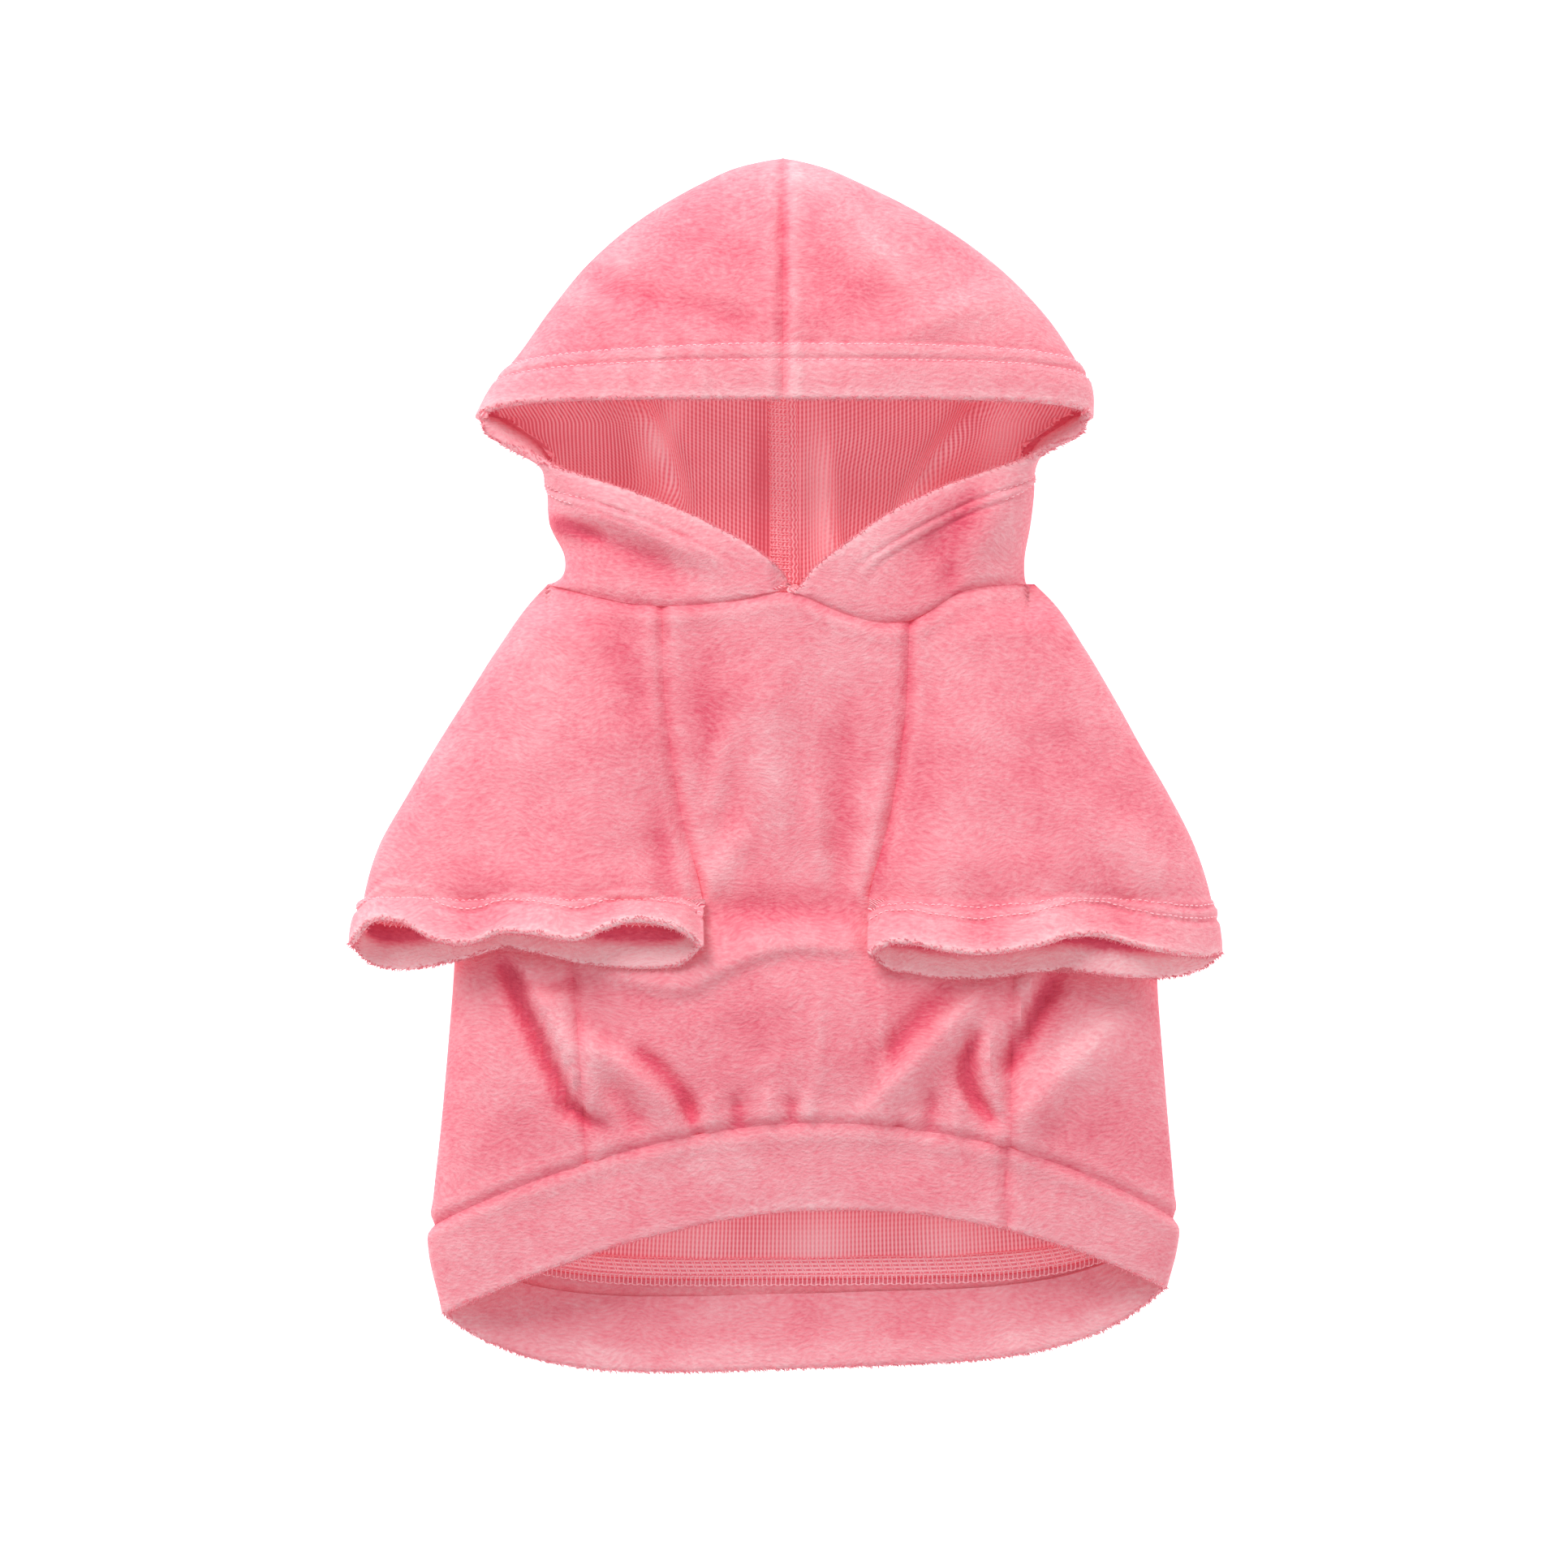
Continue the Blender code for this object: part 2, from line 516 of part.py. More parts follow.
def cloth_sheet(name, points, kept, inside, material, hem=None, thickness=None):
    """One panel: a grid of faces laid through the points, given its wall on the inner side.
    Cells that aren't kept are removed, and hem holds each point's share of the hem's thickness."""
    rows, columns = points.shape[:2]
    bm = bmesh.new()
    weights = bm.verts.layers.deform.verify()
    bmesh.ops.create_grid(bm, x_segments=columns - 1, y_segments=rows - 1, size=0.5)
    place = {}
    for vert in bm.verts:
        place[vert] = (round((vert.co.y + 0.5) * (rows - 1)), round((vert.co.x + 0.5) * (columns - 1)))
    dropped = []
    for face in bm.faces:
        row = min(place[vert][0] for vert in face.verts)
        column = min(place[vert][1] for vert in face.verts)
        if not kept(row, column):
            dropped.append(face)
    for vert in bm.verts:
        row, column = place[vert]
        vert.co = points[row, column]
        vert[weights][0] = 0.0 if hem is None else float(hem[row, column])
    bmesh.ops.delete(bm, geom=dropped, context="FACES")
    bmesh.ops.remove_doubles(bm, verts=bm.verts, dist=0.00002)
    bm.normal_update()
    inside = Vector(inside)
    outward = sum(face.normal.dot(face.calc_center_median() - inside) * face.calc_area() for face in bm.faces)
    if outward < 0:
        bmesh.ops.reverse_faces(bm, faces=bm.faces)
    mesh = bpy.data.meshes.new(name)
    bm.to_mesh(mesh)
    bm.free()
    mesh.materials.append(material)
    mesh.shade_smooth()
    panel = bpy.data.objects.new(name, mesh)
    hoodie.objects.link(panel)
    panel.vertex_groups.new(name="hem")
    wall = panel.modifiers.new("Cloth wall", "SOLIDIFY")
    wall.offset = -1
    wall.use_even_offset = False
    wall.use_quality_normals = True
    if hem is None:
        wall.thickness = thickness or CLOTH_THICKNESS
    else:
        wall.thickness = HEM_THICKNESS
        wall.vertex_group = "hem"
        wall.thickness_vertex_group = CLOTH_THICKNESS / HEM_THICKNESS
    return panel


def with_gap(points, first=None, last=None):
    """Draws the ends of each line of points back by half a seam gap, along the line."""
    points = points.copy()
    for end, step, wanted in ((0, 1, first), (-1, -2, last)):
        if wanted:
            towards = points[:, step] - points[:, end]
            length = np.linalg.norm(towards, axis=-1, keepdims=True)
            points[:, end] += towards / np.maximum(length, 1e-9) * SEAM_GAP / 2
    return points


def strip_share(row):
    return SEAM_STRIP / torso_width(row)[1]


def upper_rows():
    """Rows from the neck seam to just above the underarm line."""
    return np.insert(np.linspace(0, 1, UPPER_FACES + 1)[:-1], 1, NECK_STRIP_ROW * 0.99)


def belly_columns(row):
    """Shares of the belly panel's columns at a row between the underarm and the waistband."""
    left, right = read(SEAMS, "side_left", row), read(SEAMS, "side_right", row)
    inner_left, inner_right = raglan_share(np.float64(1.0), -1), raglan_share(np.float64(1.0), 1)
    at_underarm = np.concatenate(
        [
            spread(left, inner_left, WING_FACES)[:-1],
            spread(inner_left, inner_right, CHEST_FACES),
            spread(inner_right, right, WING_FACES)[1:],
        ]
    )
    even = spread(left, right, 2 * WING_FACES + CHEST_FACES)
    shares = mix(at_underarm, even, np.clip(row - 1, 0, 1))
    strip = strip_share(row)
    return np.concatenate([[left, left + strip], shares[1:-1], [right - strip, right]])


def lower_rows():
    rows = 1 + np.linspace(0, 1, LOWER_FACES + 1) ** 0.9
    rows[-1] = 2 - SEAM_GAP / 2 / (BAND_SEAM_SIDE - UNDERARM_DROP)
    return rows


def make_belly_panel():
    upper = upper_rows()
    chest = []
    for row in upper:
        shares = spread(raglan_share(row, -1), raglan_share(row, 1), CHEST_FACES)
        line = torso(row, shares, True)
        if row == 0:
            line[:, 1] -= SEAM_GAP / 2
        chest.append(line)
    chest = with_gap(np.array(chest), first=True, last=True)
    lower = np.array([torso(row, belly_columns(row), True) for row in lower_rows()])
    lower = with_gap(lower, first=True, last=True)
    wings = WING_FACES + 1
    # The wings start a seam gap below the underarm line, where the sleeves are sewn on
    lower[0, :wings, 1] -= SEAM_GAP
    lower[0, -wings:, 1] -= SEAM_GAP
    blank = np.repeat(lower[:1], len(upper), axis=0)
    blank[:, wings : wings + CHEST_FACES + 1] = chest
    points = np.concatenate([blank, lower])

    def kept(row, column):
        return row >= len(upper) or wings <= column < wings + CHEST_FACES

    return cloth_sheet("belly_panel", points, kept, (0, UNDERARM_Y, 0), velour_material)


def ring_columns(row):
    """Shares and leaf of the back panel's columns, from the left side seam round to the right one."""
    left, right = read(SEAMS, "side_left", row), read(SEAMS, "side_right", row)
    strip = strip_share(row)
    parts = (
        (np.concatenate([[left], rounded_spread(left - strip, -1.0, SIDE_FACES)[:-1]]), True),
        (rounded_spread(-1.0, 1.0, BACK_FACES), False),
        (np.concatenate([rounded_spread(1.0, right + strip, SIDE_FACES)[1:], [right]]), True),
    )
    return parts


def ring_points(row):
    return np.concatenate([torso(row, shares, front) for shares, front in ring_columns(row)])


def make_back_panel():
    upper = upper_rows()
    side = SIDE_FACES + 1
    lower = with_gap(np.array([ring_points(row) for row in lower_rows()]), first=True, last=True)
    lower[0, :side, 1] -= SEAM_GAP
    lower[0, -side:, 1] -= SEAM_GAP
    back = []
    for row in upper:
        raglan = read(SEAMS, "back_raglan", section_row(row))
        line = torso(row, rounded_spread(-1.0, 1.0, BACK_FACES) * raglan, False)
        if row == 0:
            line[:, 1] -= SEAM_GAP / 2
        back.append(line)
    back = with_gap(np.array(back), first=True, last=True)
    blank = np.repeat(lower[:1], len(upper), axis=0)
    blank[:, side : side + BACK_FACES + 1] = back
    points = np.concatenate([blank, lower])

    def kept(row, column):
        return row >= len(upper) or side <= column < side + BACK_FACES

    return cloth_sheet("back_panel", points, kept, (0, UNDERARM_Y, BODY_RISE / 3), velour_material)


def whole_ring(row):
    """All the points round the body at a row, from the left side seam over the belly and back to it."""
    front = torso(row, belly_columns(row), True)
    back = ring_points(row)
    return np.concatenate([front, back[::-1][1:]])


def make_waistband():
    first = 2 + SEAM_GAP / 2 / (HEM_SIDE - BAND_SEAM_SIDE)
    rows = np.linspace(first, 3, BAND_FACES + 1)
    points = np.array([whole_ring(row) for row in rows])
    hem = np.ones(points.shape[:2])
    inside = (BODY_SHIFT, NECK_Y - HEM_FRONT, BODY_RISE / 3)
    return cloth_sheet("waistband", points, lambda row, column: True, inside, velour_material, hem)


def make_band_allowance():
    """The overlocked edge inside the waistband seam, turned up against the body."""
    reach = ALLOWANCE_WIDTH / (BAND_SEAM_SIDE - UNDERARM_DROP)
    rows = (2 - 1.15 * reach, 2 - 0.15 * reach)
    ring = np.array([whole_ring(row) for row in rows])
    depth = CLOTH_THICKNESS + LAYER_GAP
    around = np.roll(ring[:, :-1], -1, axis=1) - np.roll(ring[:, :-1], 1, axis=1)
    along = np.gradient(ring[:, :-1], axis=0)
    normal = np.cross(around, along)
    normal /= np.linalg.norm(normal, axis=-1, keepdims=True)
    middle = ring[:, :-1].mean(axis=1, keepdims=True)
    facing = np.sign(np.sum(normal * (middle - ring[:, :-1])))
    moved = ring[:, :-1] + normal * facing * depth
    points = np.concatenate([moved, moved[:, :1]], axis=1)
    return cloth_sheet(
        "band_seam_allowance",
        points,
        lambda row, column: True,
        (BODY_SHIFT, NECK_Y - HEM_FRONT, BODY_RISE / 3),
        knit_material,
        thickness=ALLOWANCE_THICKNESS,
    )


def make_sleeve(side, name):
    ends = 1 + np.linspace(0, 1, SLEEVE_END_FACES + 1)
    rows = np.concatenate([upper_rows(), ends])
    even = np.linspace(0, 1, SLEEVE_FACES + 1)
    across = 0.55 * np.sin(even * np.pi / 2) + 0.45 * even
    outer = np.linspace(0, 1, SLEEVE_OUTER_FACES + 1)
    lines = []
    for row in rows:
        top = sleeve_top(row, across, side)
        if row == 0:
            top[:, 1] -= SEAM_GAP / 2
        if row <= 1:
            top = with_gap(top[None], first=True)[0]
        # The lower leaf runs back from the outer fold: first beside the body, then over it
        if row < 1:
            beside = sleeve_back(row, outer[::-1], side)
            if row == 0:
                beside[:, 1] -= SEAM_GAP / 2
            beside = with_gap(beside[None], last=True)[0]
            over = np.repeat(beside[-1:], SLEEVE_FACES - SLEEVE_OUTER_FACES, axis=0)
        else:
            fold_at = body_fold_across(row, side)
            beside = sleeve_under(row, 1 - (1 - fold_at) * np.linspace(0, 1, SLEEVE_OUTER_FACES + 1), side)
            inner = SLEEVE_FACES - SLEEVE_OUTER_FACES
            over = sleeve_under(row, fold_at * np.linspace(1, 0, inner + 1)[1:], side)
            over[-1] = top[0]
        lines.append(np.concatenate([top, beside[1:], over]))
    points = np.array(lines)
    hem = np.repeat((rows > 1.3)[:, None], points.shape[1], axis=1).astype(float)
    outer_end = SLEEVE_FACES + SLEEVE_OUTER_FACES

    def kept(row, column):
        return rows[row] >= 1 or column < outer_end

    inside = (side * 0.6 * SLEEVE_REACH, NECK_Y - 0.7 * UNDERARM_DROP, BODY_RISE / 3)
    return cloth_sheet(name, points, kept, inside, velour_material, hem)


def body_fold_across(row, side):
    """Where the body's side fold lies under a sleeve, as a share across it."""
    on_body = np.clip(row, 0, 1)
    inner = torso(on_body, raglan_share(on_body, side), True)[..., 0]
    fold = torso(on_body, float(side), False)[..., 0]
    return (fold - inner) / (sleeve_out_x(row, side) - inner)


def make_hood_half(side, name):
    stub = 0.965
    even = np.linspace(0, 1, HOOD_BACK_FACES + 1)
    back = 0.5 * (np.sin(even * np.pi / 2) + even)
    edge = np.linspace(0, 1, HOOD_EDGE_FACES + 1)
    top = np.linspace(stub, 0, HOOD_TOP_FACES + 1)
    lines, hem = [], []
    for row in np.linspace(0, 1, CROWN_FACES + 1) ** 0.85:
        under = crown(row, back, side, False)
        near = crown(row, 1 - (1 - stub) * edge**2, side, True)
        over = crown(row, top, side, True)
        if row == 0:
            under = near = over = np.repeat(crown(0.0, [0.0], side, False), HOOD_BACK_FACES + 1, axis=0)
            near, over = under[: HOOD_EDGE_FACES + 1], under[: HOOD_TOP_FACES + 1]
        lines.append(np.concatenate([under, near[1:], over[1:]]))
        hem_row = float(row > 0.93)
        hem.append([0.0] * (HOOD_BACK_FACES + 2) + [hem_row] * (HOOD_EDGE_FACES - 1 + HOOD_TOP_FACES))
    strip = 1 - SEAM_STRIP / FACE_CORNER_UP
    for row in np.append(np.linspace(0, 1, NECK_FACES + 1)[1:-1], [strip, 1.0]):
        under = neck_back(row, back, side)
        near = neck_flap(row, edge**mix(2, 1, smoothstep(0, 0.4, row)), side)
        blank = np.repeat(near[-1:], HOOD_TOP_FACES, axis=0)
        lines.append(np.concatenate([under, near[1:], blank]))
        hem.append([0.0] * (HOOD_BACK_FACES + HOOD_EDGE_FACES) + [1.0] * (1 + HOOD_TOP_FACES))
    points = np.array(lines)
    # Each half stops half a seam gap from the centre seam
    for column in (0, -1):
        on_seam = np.abs(points[:, column, 0] - HOOD_SEAM_X) < 1e-6
        points[on_seam, column, 0] += side * SEAM_GAP / 2
    points[0, :, 0] = HOOD_SEAM_X + side * SEAM_GAP
    edge_end = HOOD_BACK_FACES + HOOD_EDGE_FACES

    def kept(row, column):
        return row < CROWN_FACES or column < edge_end

    inside = (side * 0.4 * HOOD_HALF_WIDTH, NECK_Y + FACE_LIP_UP, HOOD_RISE / 3)
    return cloth_sheet(name, points, kept, inside, velour_material, np.array(hem))


def make_hood_allowance():
    """The overlocked edge inside the hood's centre seam, from the neck round the crown to the lip."""
    half = ALLOWANCE_WIDTH / 2
    depth = CLOTH_THICKNESS + 2 * SEAM_GAP
    neck_rows = np.linspace(0.96, 0.15, 7)
    crown_rows = np.linspace(1, 0.18, 7)
    path = [neck_back(row, 0.0, -1) for row in neck_rows]
    path += [crown(row, 0.0, -1, False) for row in crown_rows]
    under = np.array(path)
    under[:, 2] += depth
    over = np.array([crown(row, 0.0, -1, True) for row in np.linspace(0.18, 0.80, 6)])
    over[:, 2] -= depth
    over[:, 1] -= depth * 0.6
    tip = (under[-1] + over[0]) / 2
    tip[1] += 0.2 * (over[0][2] - under[-1][2])
    line = np.concatenate([under, tip[None], over])
    shifted = [line + np.array([offset, 0, 0]) for offset in (-half, 0, half)]
    points = np.stack(shifted, axis=1)
    return cloth_sheet(
        "hood_seam_allowance",
        points,
        lambda row, column: True,
        (HOOD_SEAM_X, NECK_Y + FACE_LIP_UP, HOOD_RISE / 2),
        knit_material,
        thickness=ALLOWANCE_THICKNESS,
    )


for old in list(bpy.data.objects):
    bpy.data.objects.remove(old)

hoodie = bpy.data.collections.new("dog_hoodie")
bpy.context.scene.collection.children.link(hoodie)
velour_material = velour("velour_pile", VELOUR_PINK)
knit_material = velour("velour_knit_back", KNIT_PINK)

make_belly_panel()
make_back_panel()
make_waistband()
make_band_allowance()
make_sleeve(-1, "sleeve_left")
make_sleeve(1, "sleeve_right")
make_hood_half(-1, "hood_left")
make_hood_half(1, "hood_right")
make_hood_allowance()
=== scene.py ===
import math

import bpy
import numpy as np
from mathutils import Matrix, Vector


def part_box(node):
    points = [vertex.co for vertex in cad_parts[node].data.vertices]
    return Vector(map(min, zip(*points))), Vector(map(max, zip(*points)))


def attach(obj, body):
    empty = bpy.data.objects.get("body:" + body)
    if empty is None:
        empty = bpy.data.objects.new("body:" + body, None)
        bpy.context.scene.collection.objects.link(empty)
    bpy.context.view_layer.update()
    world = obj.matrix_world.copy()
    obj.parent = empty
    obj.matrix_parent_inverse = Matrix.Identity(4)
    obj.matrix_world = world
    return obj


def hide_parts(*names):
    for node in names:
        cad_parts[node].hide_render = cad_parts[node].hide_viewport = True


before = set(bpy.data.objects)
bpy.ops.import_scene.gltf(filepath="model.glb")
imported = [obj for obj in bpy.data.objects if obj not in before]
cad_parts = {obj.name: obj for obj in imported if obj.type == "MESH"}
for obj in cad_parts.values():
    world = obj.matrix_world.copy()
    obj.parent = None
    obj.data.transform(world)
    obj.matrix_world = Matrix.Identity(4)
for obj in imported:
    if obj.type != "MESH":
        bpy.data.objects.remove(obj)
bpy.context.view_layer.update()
root = "root"
mm = 0.001
print("frame loaded")

# Sizes of the laid garment, the same as the frame's
garment = {
    "hoodLength": 0.1382,  # neck seam to the tip of the crown
    "hoodHalfWidth": 0.099,  # centre seam to a corner of the face opening
    "neckHalfWidth": 0.0775,
    "bodyLength": 0.2542,  # neck seam to the back hem
    "bodyHalfWidth": 0.1206,  # at the waistband seam
    "chestHalfWidth": 0.040,  # chest panel at the neck seam
    "chestHalfLow": 0.0268,  # chest panel between the sleeve hems
    "underarmDrop": 0.102,
    "bandSeamFront": 0.1742,
    "bandSeamSide": 0.2062,
    "bandSeamBack": 0.2250,
    "hemFront": 0.2026,
    "hemSide": 0.2325,
    "sleeveHem": 0.1170,
    "sleeveLip": 0.0100,
    "neckDip": 0.0126,
    "hoodRise": 0.045,
    "bodyRise": 0.034,
    "sideFoldRise": 0.009,
    "cornerRise": 0.013,
    "sleevePuff": 0.009,
    "sleeveMouth": 0.022,
    "bodyShift": 0.0058,
    "hoodSeamX": -0.0008,
    "hemTilt": 0.0042,
    "layerGap": 0.0012,
    "overlapDip": 0.0048,
}
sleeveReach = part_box("sleeve_right")[1].x
neckY = (garment["bodyLength"] - garment["hoodLength"]) / 2
underarmY = neckY - garment["underarmDrop"]
faceCornerUp = 0.391 * garment["hoodLength"]
faceLipUp = 0.425 * garment["hoodLength"]

# Cloth: a velour knit, its hems turned once and sewn with a double needle
cloth = {
    "wall": 1.3 * mm,
    "hemThick": 3.0 * mm,
    "step": 1.35 * mm,  # length of a face
    "grooveDeep": 1.0 * mm,  # how far a seam pulls the cloth in
    "grooveWide": 1.7 * mm,
    "pucker": 0.4,
    "puckerLength": 6.0 * mm,
    "besideHigh": 0.4 * mm,  # the cloth stands up beside a seam
    "besideAway": 4.2 * mm,
    "besideWide": 2.4 * mm,
    "hemAim": 2.5 * mm,  # behind the lip, for the direction that a hem rolls in
    "evening": 6,
    "rollPoints": 8,
    "hemHigh": 0.7 * mm,  # the double cloth stands up as far as the outer needle row
    "needleDeep": 0.75 * mm,
    "needleWide": 1.0 * mm,
    "dimple": 0.4,
    "dimpleLength": 2.6 * mm,
    "merge": 0.03 * mm,
    "sharp": 50,  # degrees; the rims of the walls stay sharp
    "drawnBack": 9 * mm,  # where a hem's outer layer is spaced again
}


def tableOf(names, *rows):
    return {name: np.array([row[i] for row in rows], float) for i, name in enumerate(names)}


def rowsOf(table):
    return zip(*(column.tolist() for column in table.values()))


# Rows of the body: 0 neck seam, 1 underarm, 2 waistband seam, 3 hem. Half width is neck x neckHalfWidth +
# body x bodyHalfWidth, and the rest are shares of the sizes above.
torsoRows = tableOf(
    ("row", "neck", "body", "shift", "rise", "fold"),
    (0.00, 1.00, 0.000, 0.09, 0.97, 1.00),
    (0.33, 0.60, 0.352, 0.50, 0.94, 1.00),
    (0.70, 0.25, 0.689, 0.95, 0.88, 1.00),
    (1.00, 0.00, 0.926, 1.15, 0.86, 0.90),
    (1.33, 0.00, 0.949, 1.09, 0.98, 0.88),
    (1.66, 0.00, 0.973, 1.07, 0.97, 0.86),
    (2.00, 0.00, 1.000, 1.00, 0.84, 0.82),
    (3.00, 0.00, 0.974, 1.03, 0.72, 0.72),
)

# Seams that run down the garment, as shares of the half width
seamRows = tableOf(
    ("row", "sideLeft", "sideRight", "narrowing", "backRaglan"),
    (0.00, -0.66, 0.60, 0.00, 0.930),
    (0.33, -0.66, 0.60, 0.10, 0.870),
    (0.70, -0.66, 0.60, 0.48, 0.870),
    (1.00, -0.68, 0.60, 1.00, 1.000),
    (1.50, -0.63, 0.575, 1.00, 1.000),
    (2.00, -0.580, 0.553, 1.00, 1.000),
)

# Front neck seam: its dip against the share of the neck's half width
neckSeam = tableOf(
    ("across", "dip"),
    (-1.00, 0.00),
    (-0.85, 0.25),
    (-0.56, 0.58),
    (-0.23, 0.46),
    (0.02, 0.25),
    (0.24, 0.77),
    (0.38, 1.00),
    (0.52, 0.96),
    (0.74, 0.20),
    (1.00, 0.00),
)

# Outer edge of the sleeves: share of the way out from the neck fold to the hem corner
sleeveEdge = tableOf(
    ("row", "left", "right"),
    (0.00, 0.000, 0.040),
    (0.05, 0.075, 0.124),
    (0.20, 0.248, 0.295),
    (0.36, 0.410, 0.449),
    (0.52, 0.570, 0.592),
    (0.67, 0.710, 0.733),
    (0.83, 0.853, 0.863),
    (1.00, 0.933, 0.950),
    (1.30, 0.970, 0.975),
    (1.70, 0.994, 0.994),
    (2.00, 1.000, 1.000),
)

# Lips of the sleeve hems: how far they lie below sleeveHem, in shares of sleeveLip
sleeveLips = tableOf(
    ("across", "leftTop", "leftUnder", "rightTop", "rightUnder"),
    (0.00, 0.00, 0.00, 0.25, 0.25),
    (0.05, -0.50, 0.56, -0.10, 0.72),
    (0.12, -0.80, 0.71, -0.12, 0.88),
    (0.20, -0.88, 0.72, 0.07, 1.04),
    (0.27, -0.65, 0.66, 0.19, 1.06),
    (0.34, -0.28, 0.56, 0.19, 1.03),
    (0.48, -0.44, 0.19, -0.05, 0.83),
    (0.57, -0.47, 0.08, -0.35, 0.79),
    (0.66, -0.10, 0.40, -0.34, 0.94),
    (0.75, -0.20, 0.62, -0.04, 1.03),
    (0.86, -0.83, 0.77, 0.24, 0.99),
    (0.95, -0.70, 0.53, 0.35, 0.70),
    (1.00, 0.01, 0.01, 0.30, 0.30),
)

# Crown of the hood: shares of hoodLength above the neck seam, hoodHalfWidth, hoodRise and sideFoldRise
crownRows = tableOf(
    ("row", "up", "left", "right", "rise", "fold"),
    (0.00, 1.000, 0.000, 0.000, 0.13, 0.65),
    (0.08, 0.978, 0.140, 0.125, 0.30, 0.75),
    (0.18, 0.940, 0.262, 0.250, 0.47, 0.90),
    (0.32, 0.861, 0.452, 0.466, 0.66, 1.00),
    (0.48, 0.756, 0.628, 0.680, 0.82, 1.00),
    (0.64, 0.645, 0.757, 0.838, 0.93, 1.00),
    (0.80, 0.541, 0.860, 0.942, 0.98, 1.10),
    (0.91, 0.458, 0.950, 1.004, 1.00, 1.25),
    (1.00, 0.391, 1.000, 1.008, 1.00, 1.45),
)

# Neck of the hood, from the corner of the face opening (0) to the neck seam (1)
neckRows = tableOf(
    ("row", "inLeft", "inRight", "down", "leftX", "leftUp", "rightX", "rightUp", "lipRise"),
    (0.00, 0.00, 0.00, 0.00, 0.982, 1.010, 0.988, 1.010, 0.56),
    (0.08, 0.30, 0.30, 0.07, 0.988, 0.930, 0.992, 0.915, 0.50),
    (0.18, 0.72, 0.70, 0.17, 0.925, 0.833, 0.905, 0.820, 0.50),
    (0.28, 0.93, 0.88, 0.29, 0.828, 0.755, 0.813, 0.765, 0.60),
    (0.42, 0.99, 0.88, 0.43, 0.687, 0.667, 0.667, 0.676, 0.75),
    (0.60, 1.03, 0.94, 0.63, 0.446, 0.520, 0.485, 0.550, 0.90),
    (0.77, 1.24, 1.03, 0.80, 0.232, 0.352, 0.313, 0.385, 0.96),
    (0.90, 1.20, 1.03, 0.91, 0.060, 0.170, 0.120, 0.125, 0.99),
    (1.00, 1.00, 1.00, 1.00, -0.080, -0.055, 0.005, -0.070, 1.00),
)

foldShape = {
    "past": 1.2,  # how far a fold runs on past its ends, in widths
    "fadeFrom": -0.12,  # shares of its run over which it grows to its full height
    "fadeTo": 0.25,
    "endHigh": 0.35,
    "turn": 0.3,  # share of the width over which the steepness changes sides
    "plainWide": 4.0,  # mm; a narrower fold gets more painted shade on the pile
}

